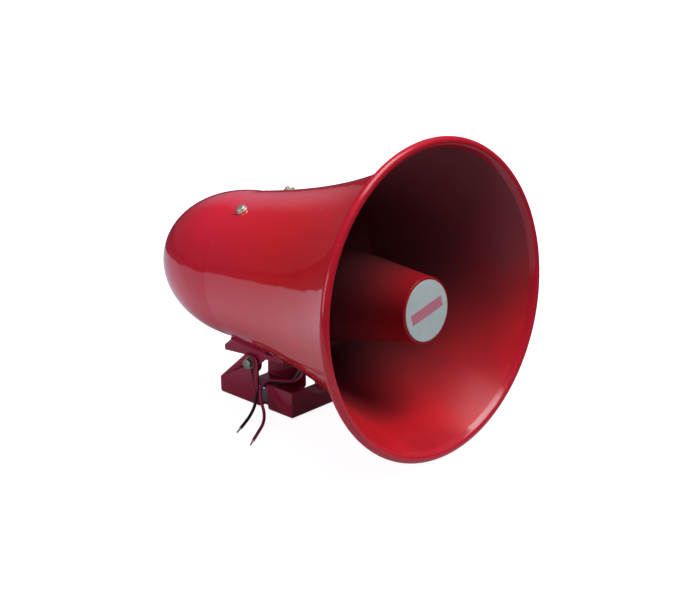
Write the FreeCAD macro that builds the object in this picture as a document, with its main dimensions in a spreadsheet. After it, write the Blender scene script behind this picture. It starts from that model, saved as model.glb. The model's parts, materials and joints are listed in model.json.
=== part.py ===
import FreeCAD, Part
import math
import os
import re
import Sketcher
from FreeCAD import Placement, Rotation, Vector

# Electronic horn siren on a folded tilting bracket. Millimetres.
# The horn's own frame has X along its axis, with the mouth at 0 and the rear negative.
# The part's frame has Z up and its origin at the centre of the bracket's base, on its underside.

doc = FreeCAD.newDocument("ElectronicSiren")
sheet = doc.addObject("Spreadsheet::Sheet", "Sizes")

SIZES = {
    # bell: an exponential flare, measured on its inside, with a rolled bead at the mouth
    "flare_small": 60.6, "flare_large": 117, "flare_length": 194, "flare_growth": 1.67,
    "bell_rear": 192, "bell_wall": 1.2, "bead_radius": 3.5,
    # rear dome: a drawn cap whose spigot nests in the bell
    "dome_radius": 61.1, "dome_straight": 9, "dome_depth": 88, "dome_wall": 1.2,
    "spigot_front": 158, "spigot_gap": 0.35, "spigot_shoulder": 1, "seal_depth": 4, "seal_start": 188,
    # reflector cone and its face plate; it sits a little below the horn's axis
    "cone_front": 14, "cone_rear": 118, "cone_drop": 9, "cone_small": 25.5, "cone_large": 39,
    "cone_wall": 1.5, "cone_nose": 2.6, "cone_edge": 1.4, "cone_lip": 46, "cone_lip_depth": 1.5,
    "disc_radius": 23.5, "disc_depth": 1.1, "disc_recess": 0.7, "disc_gap": 0.2,
    # bulkhead and throat tube
    "bulkhead_front": 133, "bulkhead_depth": 2, "bulkhead_rim": 3.5, "bulkhead_gap": 0.1,
    "throat_small": 9, "throat_large": 12.5, "throat_wall": 1.5, "throat_front": 34,
    "throat_flange": 24, "throat_flange_depth": 3,
    "post_circle": 42.4, "cone_post_radius": 3.4, "cone_post_count": 3,
    # compression driver, from front to back
    "driver_flange_radius": 38, "driver_flange_depth": 6, "driver_chamber": 20.5,
    "driver_chamber_depth": 3, "diaphragm_radius": 24, "diaphragm_depth": 0.4,
    "diaphragm_crown": 2.4, "coil_radius": 18.6, "coil_wall": 0.6, "coil_length": 7.5,
    "top_plate_radius": 36, "top_plate_bore": 19.2, "top_plate_depth": 5,
    "magnet_radius": 43, "magnet_bore": 23, "magnet_depth": 15,
    "yoke_radius": 39, "yoke_depth": 5, "pole_radius": 17.4, "pole_gap": 1.6,
    "driver_screw_circle": 30, "driver_screw_count": 4,
    # circuit board on four posts behind the driver
    "board_front": 190, "board_depth": 1.6, "board_clear": 7.7, "board_hole_edge": 5,
    "board_corner": 3, "board_post_radius": 3.5,
    "core_wide": 34, "core_tall": 28, "core_deep": 20, "core_leg": 5,
    "core_y": -19, "core_z": 8, "winding_side": 3, "winding_gap": 0.2,
    "capacitor_radius": 8, "capacitor_height": 22, "capacitor_count": 2,
    "capacitor_pitch": 18, "capacitor_y": 16, "capacitor_z": 22, "capacitor_edge": 0.8,
    "capacitor_groove": 0.5, "capacitor_groove_x": 2.5,
    "sink_wide": 34, "sink_tall": 22, "sink_base": 2, "sink_depth": 12, "fin_count": 6,
    "fin_depth": 1.4, "sink_y": -6, "sink_z": -22,
    "chip_wide": 10, "chip_tall": 15, "chip_depth": 4.4,
    "terminal_wide": 20, "terminal_tall": 10, "terminal_deep": 12, "terminal_y": 24,
    "terminal_z": -22, "terminal_ways": 3, "terminal_hole": 1.6,
    # M3 and M4 screws
    "small_shank": 1.5, "small_head": 2.9, "small_head_depth": 2.2, "small_length": 8,
    "screw_shank": 2, "screw_head": 3.9, "screw_head_depth": 2.6, "hole_play": 0.15,
    "driver_screw_length": 12, "collar_screw_length": 12, "saddle_screw_length": 13,
    "screw_nut_flats": 7, "screw_nut_depth": 3.2, "screw_nut_gap": 0.2,
    "collar_screw_x": 174, "collar_screw_angle": 24.5, "collar_screw_turn": 5,
    "collar_washer_radius": 4.8, "collar_washer_depth": 0.8,
    # saddle: a curved strap under the body with two long flanges that drop to round ears
    "saddle_rear": 200, "saddle_front": 157, "saddle_depth": 2.5, "saddle_half_angle": 31,
    "saddle_gap": 0.05, "saddle_play": 0.3, "saddle_ear_radius": 9, "saddle_ear_wide": 24,
    "flange_rear": 216, "flange_front": 147, "flange_lift": 5, "flange_tip": 4.5,
    "saddle_screw_rear": 178, "saddle_screw_front": 166, "saddle_screw_angle": 10.5,
    # foot: a folded tray whose rear ears carry the pivot
    "foot_length": 84, "foot_wide": 56, "foot_sheet": 2, "foot_bend": 3.5,
    "foot_wall_height": 23, "foot_rear_height": 15, "foot_ear_over": 6.5,
    "foot_ear_half": 8.5, "foot_ear_rear": 5.5, "foot_ear_round": 6,
    "notch_wide": 11.5, "notch_deep": 8, "slot_pitch": 52, "slot_wide": 6.5, "slot_long": 14,
    # pivot, placed in the part's frame and on the horn
    "pivot_x": -6, "pivot_height": 36.5, "pivot_back": 184, "pivot_drop": 73.5, "rest_tilt": 5,
    "bolt_radius": 2.5, "bolt_play": 0.05, "bolt_head_flats": 8, "bolt_head_depth": 3.5,
    "bolt_length": 68, "washer_radius": 5.2, "washer_depth": 1,
    "spring_washer_radius": 4.3, "spring_washer_depth": 1.2, "spring_washer_cut": 1.2,
    "nut_depth": 4.4,
    # cable grommet and wires
    "grommet_x": 148, "grommet_radius": 5.6, "grommet_neck": 4, "grommet_lip": 1.8,
    "grommet_edge": 0.8,
    "wire_radius": 1.3, "wire_pitch": 3.8, "strand_radius": 0.75, "strand_length": 9,
    # how far a cut runs past the piece, and how long a drill is
    "cut_past": 1, "drill_length": 20,
}

for line, (name, number) in enumerate(SIZES.items(), start=1):
    sheet.set("A%d" % line, name)
    sheet.set("B%d" % line, str(number))
    sheet.setAlias("B%d" % line, name)
doc.recompute()


def size(name):
    """One driving size, read from the sheet."""
    return float(sheet.get(name))


def bound(text):
    """Expression text in which each size name points at the sheet."""
    return re.sub(r"[a-z_]+", lambda word: "Sizes." + word.group(0) if word.group(0) in SIZES
                  else word.group(0), text)


def value_of(text):
    return float(sheet.evalExpression(bound(text)))


# Sketches and features

def sketch_on(body, plane, label, offset=None):
    sketch = body.newObject("Sketcher::SketchObject", label)
    origin_plane = [item for item in body.Origin.OriginFeatures if item.Role == plane][0]
    sketch.AttachmentSupport = [(origin_plane, "")]
    sketch.MapMode = "FlatFace"
    if offset is not None:
        sketch.setExpression("AttachmentOffset.Base.z", bound(offset))
    return sketch


def hold(sketch, kind, geometry, point, text):
    """One distance constraint bound to the sheet."""
    index = sketch.addConstraint(Sketcher.Constraint(kind, geometry, point, value_of(text)))
    sketch.setExpression("Constraints[%d]" % index, bound(text))


def draw_outline(sketch, corners):
    """A closed polygon whose corners are held by bound distances."""
    places = [Vector(value_of(across), value_of(up), 0) for across, up in corners]
    count = len(places)
    first = sketch.GeometryCount
    for index in range(count):
        line = Part.LineSegment(places[index], places[(index + 1) % count])
        sketch.addGeometry(line, False)
    for index in range(count):
        following = first + (index + 1) % count
        sketch.addConstraint(Sketcher.Constraint("Coincident", first + index, 2, following, 1))
    for index, (across, up) in enumerate(corners):
        hold(sketch, "DistanceX", first + index, 1, across)
        hold(sketch, "DistanceY", first + index, 1, up)


def draw_circle(sketch, across, up, radius):
    centre = Vector(value_of(across), value_of(up), 0)
    circle = Part.Circle(centre, Vector(0, 0, 1), value_of(radius))
    index = sketch.addGeometry(circle, False)
    hold(sketch, "DistanceX", index, 3, across)
    hold(sketch, "DistanceY", index, 3, up)
    number = sketch.addConstraint(Sketcher.Constraint("Radius", index, value_of(radius)))
    sketch.setExpression("Constraints[%d]" % number, bound(radius))


def turned(label, corners):
    """A body turned about the X axis from a half section of (x, radius) corners."""
    body = doc.addObject("PartDesign::Body", label)
    sketch = sketch_on(body, "XZ_Plane", label + "_section")
    draw_outline(sketch, corners)
    turn = body.newObject("PartDesign::Revolution", label + "_turn")
    turn.Profile = sketch
    turn.ReferenceAxis = (sketch, ["H_Axis"])
    turn.Angle = 360
    doc.recompute()
    return body


def padded(label, plane, corners, length, offset=None, centred=False, holes=()):
    """A body padded from an outline, with round holes given as (across, up, radius)."""
    body = doc.addObject("PartDesign::Body", label)
    sketch = sketch_on(body, plane, label + "_outline", offset)
    draw_outline(sketch, corners)
    for across, up, radius in holes:
        draw_circle(sketch, across, up, radius)
    pad = body.newObject("PartDesign::Pad", label + "_pad")
    pad.Profile = sketch
    pad.Midplane = centred
    pad.setExpression("Length", bound(length))
    doc.recompute()
    return body


def pocket(body, label, plane, outlines=(), holes=()):
    """A cut right through the body, both ways from the plane."""
    sketch = sketch_on(body, plane, label + "_sketch")
    for corners in outlines:
        draw_outline(sketch, corners)
    for across, up, radius in holes:
        draw_circle(sketch, across, up, radius)
    cut = body.newObject("PartDesign::Pocket", label)
    cut.Profile = sketch
    cut.Type = "ThroughAll"
    cut.Midplane = True
    doc.recompute()
    return cut


def rounded(body, label, radius, wanted):
    """Fillet of the edges of the body's tip whose midpoint the test accepts."""
    tip = body.Tip
    names = ["Edge%d" % number for number, edge in enumerate(tip.Shape.Edges, start=1)
             if wanted(edge, edge.valueAt((edge.FirstParameter + edge.LastParameter) / 2))]
    fillet = body.newObject("PartDesign::Fillet", label)
    fillet.Base = (tip, names)
    fillet.setExpression("Radius", bound(radius))
    doc.recompute()
    return fillet


def feature(label, shape, placement):
    """A sub-part whose shape comes from a formula or from a group of copies."""
    item = doc.addObject("Part::Feature", label)
    item.Shape = shape
    item.Placement = placement
    return item


def seat(point, direction):
    """Puts a piece made along X at a point, looking along a direction."""
    return Placement(point, Rotation(Vector(1, 0, 0), direction))


def group(label, pattern, places, placement):
    """Copies of one piece in one node, each a separate solid."""
    base = pattern.Shape.copy()
    base.Placement = Placement()
    copies = [base.transformed(place.Matrix, True) for place in places]
    return feature(label, Part.makeCompound(copies), placement)


def drilled(shape, places, radius):
    """Round holes along each place's own X axis, half each way."""
    depth = size("drill_length")
    for place in places:
        drill = Part.makeCylinder(radius, depth, Vector(-depth / 2, 0, 0), Vector(1, 0, 0))
        shape = shape.cut(drill.transformed(place.Matrix, True))
    return shape


# Where the horn sits

tilt = size("rest_tilt")
pivot = Vector(size("pivot_x"), 0, size("pivot_height"))
pivot_on_horn = Vector(-size("pivot_back"), 0, -size("pivot_drop"))
lean = Rotation(Vector(0, 1, 0), -tilt)
HORN = Placement(pivot - lean.multVec(pivot_on_horn), lean)
FOOT = Placement()


# The flare and places on it

wall = size("bell_wall")


def flare(x):
    """Inner radius of the bell at a place along its axis, an exponential horn."""
    share = 1 + x / size("flare_length")
    growth = size("flare_growth")
    span = size("flare_large") - size("flare_small")
    return size("flare_small") + span * math.expm1(growth * share) / math.expm1(growth)


def flare_lean(x):
    """Angle between the bell's surface and its axis."""
    step = 0.01
    return math.atan((flare(x + step) - flare(x - step)) / (2 * step))


def off_flare(x, lift):
    """Point (x, radius) at a distance outward from the bell's inner face."""
    lean_angle = flare_lean(x)
    return x - lift * math.sin(lean_angle), flare(x) + lift * math.cos(lean_angle)


def on_bell(x, angle, lift=0.0):
    """Seat on the bell's outer face, looking outward; the angle runs from the bottom to -Y."""
    lean_angle = flare_lean(x)
    turn = math.radians(angle)
    out = Vector(0, -math.sin(turn), -math.cos(turn))
    normal = out * math.cos(lean_angle) - Vector(math.sin(lean_angle), 0, 0)
    along, radius = off_flare(x, wall + lift)
    return seat(Vector(along, 0, 0) + out * radius, normal)


def curve_through(points):
    spline = Part.BSplineCurve()
    spline.interpolate([Vector(x, 0, radius) for x, radius in points])
    return spline.toShape()


def line_between(start, end):
    return Part.LineSegment(Vector(start[0], 0, start[1]), Vector(end[0], 0, end[1])).toShape()


def turn_solid(edges):
    face = Part.Face(Part.Wire(Part.__sortEdges__(edges)))
    return face.revolve(Vector(0, 0, 0), Vector(1, 0, 0), 360)


def strap_ends(lift):
    """Rear and front points (x, radius) of the saddle's strap, lifted off the body."""
    rear = (-size("saddle_rear"), size("dome_radius") + size("saddle_gap") + lift)
    return rear, off_flare(-size("saddle_front"), wall + size("saddle_gap") + lift)


def on_strap(x, angle, lift):
    """Seat on the saddle's strap, which runs straight from the dome to a place on the bell."""
    rear, front = strap_ends(lift)
    slope = (front[1] - rear[1]) / (front[0] - rear[0])
    turn = math.radians(angle)
    out = Vector(0, -math.sin(turn), -math.cos(turn))
    normal = out - Vector(slope, 0, 0)
    radius = rear[1] + slope * (x - rear[0])
    return seat(Vector(x, 0, 0) + out * radius, normal.normalize())


collar_middle = 180 - size("collar_screw_turn")
collar_places = [on_bell(-size("collar_screw_x"), collar_middle + side * size("collar_screw_angle"))
                 for side in (-1, 1)]
saddle_places = [on_strap(-size(along), side * size("saddle_screw_angle"), size("saddle_depth"))
                 for along in ("saddle_screw_rear", "saddle_screw_front") for side in (-1, 1)]
screw_hole = size("screw_shank") + size("hole_play")


# Bell: spun sheet of even thickness, tangent to the rolled bead at the mouth

def make_bell():
    bead = size("bead_radius")
    end_lean = flare_lean(0)
    tangent = Vector(math.cos(end_lean), 0, math.sin(end_lean))
    inward = Vector(math.sin(end_lean), 0, -math.cos(end_lean))
    touch_x = -bead * (1 - math.sin(end_lean))
    touch = Vector(touch_x, 0, flare(touch_x))
    centre = touch - inward * bead
    half_chord = math.sqrt(bead ** 2 - (bead - wall) ** 2)
    leave = centre + inward * (bead - wall) - tangent * half_chord
    rear = -size("bell_rear")
    steps = 9
    stations = [rear + (touch_x - rear) * (number / steps) for number in range(steps)]
    inner = [(x, flare(x)) for x in stations] + [(touch.x, touch.z)]
    outer = [off_flare(x, wall) for x in stations] + [(leave.x, leave.z)]
    far_side = centre - inward * bead
    rim = Part.Arc(touch, far_side, leave).toShape()
    rear_edge = line_between(inner[0], outer[0])
    shell = turn_solid([curve_through(inner), rim, curve_through(outer), rear_edge])
    shell = drilled(shell, collar_places + saddle_places, screw_hole)
    grommet_place = on_bell(-size("grommet_x"), 0)
    return drilled(shell, [grommet_place], size("grommet_neck"))


bell = feature("bell", make_bell(), HORN)


# Rear dome: half ellipse, short straight, then a spigot that follows the flare

def dome_section(inset):
    """Half section edges of the dome's outer face, moved in by the inset."""
    radius = size("dome_radius") - inset
    rear = -size("bell_rear")
    start = rear - size("dome_straight")
    depth = size("dome_depth") - inset
    gap = size("spigot_gap") + inset
    front = (-size("spigot_front"), flare(-size("spigot_front")) - gap)
    shoulder = (rear - size("spigot_shoulder"), radius)
    ellipse = Part.Ellipse(Vector(start, 0, 0), depth, radius)
    ellipse.Axis = Vector(0, -1, 0)
    arc = Part.ArcOfEllipse(ellipse, math.pi / 2, math.pi).toShape()
    straight = [(start, radius), shoulder, (rear, flare(rear) - gap), front]
    return arc, straight


def make_dome():
    solids = []
    for inset in (0, size("dome_wall")):
        arc, straight = dome_section(inset)
        ends = [(vertex.Point.x, vertex.Point.z) for vertex in arc.Vertexes]
        nose = min(ends)
        edges = [arc] + [line_between(a, b) for a, b in zip(straight, straight[1:])]
        edges += [line_between(straight[-1], (straight[-1][0], 0)),
                  line_between((straight[-1][0], 0), nose)]
        solids.append(turn_solid(edges))
    shell = solids[0].cut(solids[1])
    return drilled(shell, collar_places + saddle_places, screw_hole)


rear_dome = feature("rear_dome", make_dome(), HORN)


# Rubber seal: a band that sits on the spigot and fills its gap to the bell

def make_seal():
    start = -size("seal_start")
    stations = [start, start + size("seal_depth")]
    outer = [(x, flare(x)) for x in stations]
    inner = [(x, flare(x) - size("spigot_gap")) for x in stations]
    ring = [line_between(a, b) for a, b in ((inner[0], outer[0]), (outer[0], outer[1]),
                                            (outer[1], inner[1]), (inner[1], inner[0]))]
    return turn_solid(ring).cut(bell_raw).cut(dome_raw)


bell_raw = bell.Shape.copy()
bell_raw.Placement = Placement()
dome_raw = rear_dome.Shape.copy()
dome_raw.Placement = Placement()
dome_seal = feature("dome_seal", make_seal(), HORN)


# Reflector cone with a closed nose, a recess for the face plate and a lip at its open rear

CONE = HORN.multiply(Placement(Vector(0, 0, -size("cone_drop")), Rotation()))

reflector_cone = turned("reflector_cone", [
    ("-cone_front - cone_nose", "0"),
    ("-cone_front - disc_recess", "0"),
    ("-cone_front - disc_recess", "disc_radius + disc_gap"),
    ("-cone_front", "disc_radius + disc_gap"),
    ("-cone_front", "cone_small"),
    ("-cone_rear + cone_lip_depth", "cone_large"),
    ("-cone_rear + cone_lip_depth", "cone_lip"),
    ("-cone_rear", "cone_lip"),
    ("-cone_rear", "cone_large - cone_wall"),
    ("-cone_front - cone_nose", "cone_small - cone_wall")])
rounded(reflector_cone, "cone_front_round", "cone_edge",
        lambda edge, middle: abs(edge.Length - 2 * math.pi * size("cone_small")) < 0.05
        and abs(middle.x + size("cone_front")) < 0.01)

front_disc = turned("front_disc", [
    ("-cone_front - disc_recess", "0"),
    ("-cone_front - disc_recess + disc_depth", "0"),
    ("-cone_front - disc_recess + disc_depth", "disc_radius"),
    ("-cone_front - disc_recess", "disc_radius")])


def ring_places(count, radius, x, start=0.0, direction=Vector(1, 0, 0)):
    """Seats spread evenly round the horn's axis; the start angle is from +Z."""
    places = []
    for number in range(int(count)):
        angle = math.radians(start + 360.0 * number / int(count))
        point = Vector(x, -radius * math.sin(angle), radius * math.cos(angle))
        places.append(seat(point, direction))
    return places


def screw_circle(count, circle, start):
    """Hole centres on a circle in the YZ plane; the start angle is from +Z."""
    angles = [math.radians(start + 360.0 * number / int(size(count)))
              for number in range(int(size(count)))]
    return [("%s * %.6f" % (circle, -math.sin(angle)), "%s * %.6f" % (circle, math.cos(angle)))
            for angle in angles]


pocket(reflector_cone, "cone_post_holes", "YZ_Plane", holes=[
    (y, z, "small_shank + hole_play") for y, z in screw_circle("cone_post_count", "post_circle", 0)])


# Throat tube: a slowly widening tone arm with a flange

throat_tube = turned("throat_tube", [
    ("-bulkhead_front", "throat_small"),
    ("-throat_front", "throat_large"),
    ("-throat_front", "throat_large + throat_wall"),
    ("-bulkhead_front + throat_flange_depth", "throat_small + throat_wall"),
    ("-bulkhead_front + throat_flange_depth", "throat_flange"),
    ("-bulkhead_front", "throat_flange")])


# Bulkhead that closes the bell behind the cone; its rim leans with the flare

def make_bulkhead():
    front = -size("bulkhead_front")
    back = front - size("bulkhead_depth")
    rim = front - size("bulkhead_rim")
    gap = size("bulkhead_gap")
    depth = size("bulkhead_depth")
    corners = [(front, size("throat_small")), (front, flare(front) - gap),
               (rim, flare(rim) - gap), (rim, flare(rim) - gap - depth),
               (back, flare(back) - gap - depth), (back, size("throat_small"))]
    edges = [line_between(a, b) for a, b in zip(corners, corners[1:] + corners[:1])]
    plate = turn_solid(edges).cut(bell_raw)
    plate = drilled(plate, driver_screw_places, screw_hole)
    return drilled(plate, cone_post_holes, size("small_shank"))


driver_screw_places = ring_places(size("driver_screw_count"), size("driver_screw_circle"),
                                  -size("bulkhead_front"), 45)
cone_post_places_back = ring_places(size("cone_post_count"), size("post_circle"),
                                    -size("bulkhead_front"))
cone_post_holes = [Placement(place.Base - Vector(0, 0, size("cone_drop")), place.Rotation)
                   for place in cone_post_places_back]
back_plate = feature("back_plate", make_bulkhead(), HORN)


# Spacer posts of the cone, and the screws that run through them into the bulkhead

cone_post = turned("cone_post", [
    ("0", "small_shank + hole_play"), ("0", "cone_post_radius"),
    ("bulkhead_front - cone_rear", "cone_post_radius"),
    ("bulkhead_front - cone_rear", "small_shank + hole_play")])


# A pan head's outline, as shares of its depth and of its radius
HEAD_OUTLINE = [(0.45, 1), (0.85, 0.82), (1, 0.5)]


def screw(label, shank, head, head_depth, length):
    """Pan head screw: the underside of its head is at 0 and its shank points to -X."""
    crown = [("%s * %g" % (head_depth, rise), "%s * %g" % (head, share))
             for rise, share in HEAD_OUTLINE]
    return turned(label, [("0", shank), ("0", head)] + crown + [
        (head_depth, "0"), ("-(%s)" % length, "0"), ("-(%s)" % length, shank)])


def hex_corners(flats):
    """Corners of a hexagon by its width across flats."""
    return [("%s / sqrt(3) * %.6f" % (flats, math.cos(math.radians(60 * number))),
             "%s / sqrt(3) * %.6f" % (flats, math.sin(math.radians(60 * number))))
            for number in range(6)]


cone_posts = group("cone_posts", cone_post, cone_post_places_back, CONE)
cone_screw = screw("cone_screw", "small_shank", "small_head", "small_head_depth",
                   "cone_lip_depth + bulkhead_front - cone_rear + bulkhead_depth")
cone_screws = group("cone_screws", cone_screw, ring_places(
    size("cone_post_count"), size("post_circle"),
    size("cone_lip_depth") - size("cone_rear")), CONE)


# Compression driver: each face starts where the piece in front of it ends

flange_front = "-(bulkhead_front + bulkhead_depth)"
flange_back = "-(bulkhead_front + bulkhead_depth + driver_flange_depth)"
plate_front = "-(bulkhead_front + bulkhead_depth + driver_flange_depth + diaphragm_depth)"
plate_back = plate_front + " - top_plate_depth"
magnet_back = plate_back + " - magnet_depth"
yoke_back = magnet_back + " - yoke_depth"


driver_holes = screw_circle("driver_screw_count", "driver_screw_circle", 45)

driver_flange = turned("driver_flange", [
    (flange_front, "throat_small"), (flange_front, "driver_flange_radius"),
    (flange_back, "driver_flange_radius"), (flange_back, "driver_chamber"),
    (flange_back + " + driver_chamber_depth", "driver_chamber"),
    (flange_back + " + driver_chamber_depth", "throat_small")])
pocket(driver_flange, "driver_flange_holes", "YZ_Plane",
       holes=[(y, z, "screw_shank + hole_play") for y, z in driver_holes])

# The diaphragm's dome, as shares of its crown's height and of the coil's radius
DOME_OUTLINE = [(0.55, 0.6), (0.9, 0.3), (1, 0)]


def dome_line(face):
    """One face of the diaphragm's dome, from its edge to its middle."""
    return [("%s + diaphragm_crown * %g" % (face, rise), "coil_radius * %g" % share)
            for rise, share in DOME_OUTLINE]


diaphragm = turned("diaphragm", [
    (plate_front, "coil_radius - coil_wall"), (plate_front, "diaphragm_radius"),
    (flange_back, "diaphragm_radius"), (flange_back, "coil_radius")]
    + dome_line(flange_back) + dome_line(plate_front)[::-1])

voice_coil = turned("voice_coil", [
    (plate_front, "coil_radius - coil_wall"), (plate_front, "coil_radius"),
    (plate_front + " - coil_length", "coil_radius"),
    (plate_front + " - coil_length", "coil_radius - coil_wall")])

top_plate = turned("top_plate", [
    (plate_front, "top_plate_bore"), (plate_front, "top_plate_radius"),
    (plate_back, "top_plate_radius"), (plate_back, "top_plate_bore")])
pocket(top_plate, "top_plate_holes", "YZ_Plane",
       holes=[(y, z, "screw_shank") for y, z in driver_holes])

magnet = turned("magnet", [
    (plate_back, "magnet_bore"), (plate_back, "magnet_radius"),
    (magnet_back, "magnet_radius"), (magnet_back, "magnet_bore")])

yoke = turned("yoke", [
    (plate_front + " - pole_gap", "0"), (plate_front + " - pole_gap", "pole_radius"),
    (magnet_back, "pole_radius"), (magnet_back, "yoke_radius"),
    (yoke_back, "yoke_radius"), (yoke_back, "0")])

driver_screw = screw("driver_screw", "screw_shank", "screw_head", "screw_head_depth",
                     "driver_screw_length")
driver_screws = group("driver_screws", driver_screw, driver_screw_places, HORN)


# Circuit board on four posts that stand on the bulkhead

board_back = "-(board_front + board_depth)"
board_pitch = "((dome_radius - dome_wall - board_clear - board_post_radius) * sqrt(2))"
board_half = "(%s / 2 + board_hole_edge)" % board_pitch
board_edge = "(%s - board_corner)" % board_half
board_holes = [("%s / 2 * %d" % (board_pitch, y), "%s / 2 * %d" % (board_pitch, z))
               for y in (-1, 1) for z in (-1, 1)]
circuit_board = padded("circuit_board", "YZ_Plane", [
    ("-" + board_half, "-" + board_edge), ("-" + board_edge, "-" + board_half),
    (board_edge, "-" + board_half), (board_half, "-" + board_edge),
    (board_half, board_edge), (board_edge, board_half),
    ("-" + board_edge, board_half), ("-" + board_half, board_edge)],
    "board_depth", offset=board_back,
    holes=[(y, z, "small_shank + hole_play") for y, z in board_holes])

board_corners = [Vector(0, y * value_of(board_pitch) / 2, z * value_of(board_pitch) / 2)
                 for y in (-1, 1) for z in (-1, 1)]
board_post = turned("board_post", [
    ("0", "0"), ("board_front - bulkhead_front - bulkhead_depth", "0"),
    ("board_front - bulkhead_front - bulkhead_depth", "board_post_radius"),
    ("0", "board_post_radius")])
board_post_drill = turned("board_post_drill", [
    ("0", "0"), ("small_length - board_depth", "0"),
    ("small_length - board_depth", "small_shank"), ("0", "small_shank")])
tapped_post = doc.addObject("Part::Cut", "tapped_post")
tapped_post.Base = board_post
tapped_post.Tool = board_post_drill
doc.recompute()
board_posts = group("board_posts", tapped_post, [
    seat(Vector(-size("board_front"), 0, 0) + corner, Vector(1, 0, 0))
    for corner in board_corners], HORN)
board_screw = screw("board_screw", "small_shank", "small_head", "small_head_depth",
                    "small_length")
board_screws = group("board_screws", board_screw, [
    seat(Vector(value_of(board_back), 0, 0) + corner, Vector(-1, 0, 0))
    for corner in board_corners], HORN)


# Parts on the board's back

def block(label, y, z, wide, tall, deep, offset=None, holes=()):
    """A block that stands on the board's back, centred on (y, z)."""
    return padded(label, "YZ_Plane", [
        ("%s - %s / 2" % (y, wide), "%s - %s / 2" % (z, tall)),
        ("%s + %s / 2" % (y, wide), "%s - %s / 2" % (z, tall)),
        ("%s + %s / 2" % (y, wide), "%s + %s / 2" % (z, tall)),
        ("%s - %s / 2" % (y, wide), "%s + %s / 2" % (z, tall))],
        deep, offset=offset or board_back + " - " + deep, holes=holes)


transformer_core = block("transformer_core", "core_y", "core_z", "core_wide", "core_tall",
                         "core_deep", offset=board_back + " - winding_side - core_deep")
core_windows = []
for side in (-1, 1):
    middle_leg = "core_y + %d * core_leg" % side
    outer_leg = "core_y + %d * (core_wide / 2 - core_leg)" % side
    left, right = (outer_leg, middle_leg) if side < 0 else (middle_leg, outer_leg)
    core_windows.append([(left, "core_z - core_tall / 2 + core_leg"),
                         (right, "core_z - core_tall / 2 + core_leg"),
                         (right, "core_z + core_tall / 2 - core_leg"),
                         (left, "core_z + core_tall / 2 - core_leg")])
pocket(transformer_core, "core_windows", "YZ_Plane", outlines=core_windows)

# The winding goes round the core's middle leg and its bobbin stands on the board
winding_deep = "(core_deep + 2 * winding_side)"
winding = block("winding", "core_y", "core_z", "(core_wide - 2 * core_leg - 2 * winding_gap)",
                "(core_tall - 2 * core_leg - 2 * winding_gap)", winding_deep)
bore_front = board_back + " - winding_side + winding_gap"
bore_back = board_back + " - winding_side - core_deep - winding_gap"
pocket(winding, "winding_bore", "XY_Plane", outlines=[[
    (bore_back, "core_y - core_leg - winding_gap"), (bore_front, "core_y - core_leg - winding_gap"),
    (bore_front, "core_y + core_leg + winding_gap"),
    (bore_back, "core_y + core_leg + winding_gap")]])

capacitor = turned("capacitor", [
    ("0", "0"), ("-capacitor_height", "0"),
    ("-capacitor_height", "capacitor_radius - capacitor_edge"),
    ("-capacitor_height + capacitor_edge", "capacitor_radius"),
    ("-capacitor_groove_x - capacitor_groove", "capacitor_radius"),
    ("-capacitor_groove_x", "capacitor_radius - capacitor_groove"),
    ("-capacitor_groove_x + capacitor_groove", "capacitor_radius"), ("0", "capacitor_radius")])
capacitors = group("capacitors", capacitor, [
    Placement(Vector(value_of(board_back), size("capacitor_y"),
                     size("capacitor_z") - number * size("capacitor_pitch")), Rotation())
    for number in range(int(size("capacitor_count")))], HORN)

heat_sink = block("heat_sink", "sink_y", "sink_z", "sink_wide", "sink_tall", "sink_depth")
fin_pitch = "((sink_wide - fin_depth) / (fin_count - 1))"
fin_gaps = []
for number in range(int(size("fin_count")) - 1):
    left = "sink_y - sink_wide / 2 + fin_depth + %s * %d" % (fin_pitch, number)
    right = "sink_y - sink_wide / 2 + %s * %d" % (fin_pitch, number + 1)
    low = "sink_z - sink_tall / 2 - cut_past"
    high = "sink_z + sink_tall / 2 - sink_base - chip_depth"
    fin_gaps.append([(left, low), (right, low), (right, high), (left, high)])
pocket(heat_sink, "fin_gaps", "YZ_Plane", outlines=fin_gaps)
pocket(heat_sink, "chip_ledge", "YZ_Plane", outlines=[[
    ("sink_y - sink_wide / 2 - cut_past", "sink_z + sink_tall / 2 - chip_depth"),
    ("sink_y + sink_wide / 2 + cut_past", "sink_z + sink_tall / 2 - chip_depth"),
    ("sink_y + sink_wide / 2 + cut_past", "sink_z + sink_tall / 2 + cut_past"),
    ("sink_y - sink_wide / 2 - cut_past", "sink_z + sink_tall / 2 + cut_past")]])
power_transistor = block("power_transistor", "sink_y", "(sink_z + sink_tall / 2 - chip_depth / 2)",
                         "chip_wide", "chip_depth", "chip_tall")

terminal_block = block("terminal_block", "terminal_y", "terminal_z", "terminal_wide",
                       "terminal_tall", "terminal_deep",
                       holes=[("terminal_y + terminal_wide * %.6f"
                               % ((way + 0.5) / size("terminal_ways") - 0.5),
                               "terminal_z", "terminal_hole")
                              for way in range(int(size("terminal_ways")))])


# Screws that hold the dome in the bell, and the saddle under both

def hex_nut(label, flats, depth, bore):
    """Nut whose seat is at 0 and whose body runs towards -X."""
    return padded(label, "YZ_Plane", hex_corners(flats), depth, offset="-(%s)" % depth,
                  holes=[("0", "0", bore)])


def lifted(places, distance):
    """The same seats moved along their own directions."""
    return [place.multiply(Placement(Vector(distance, 0, 0), Rotation())) for place in places]


def flat_sag(radius, x):
    """How far a flat ring of this radius stands off the bell's round."""
    return radius ** 2 / (2 * flare(x))


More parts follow.
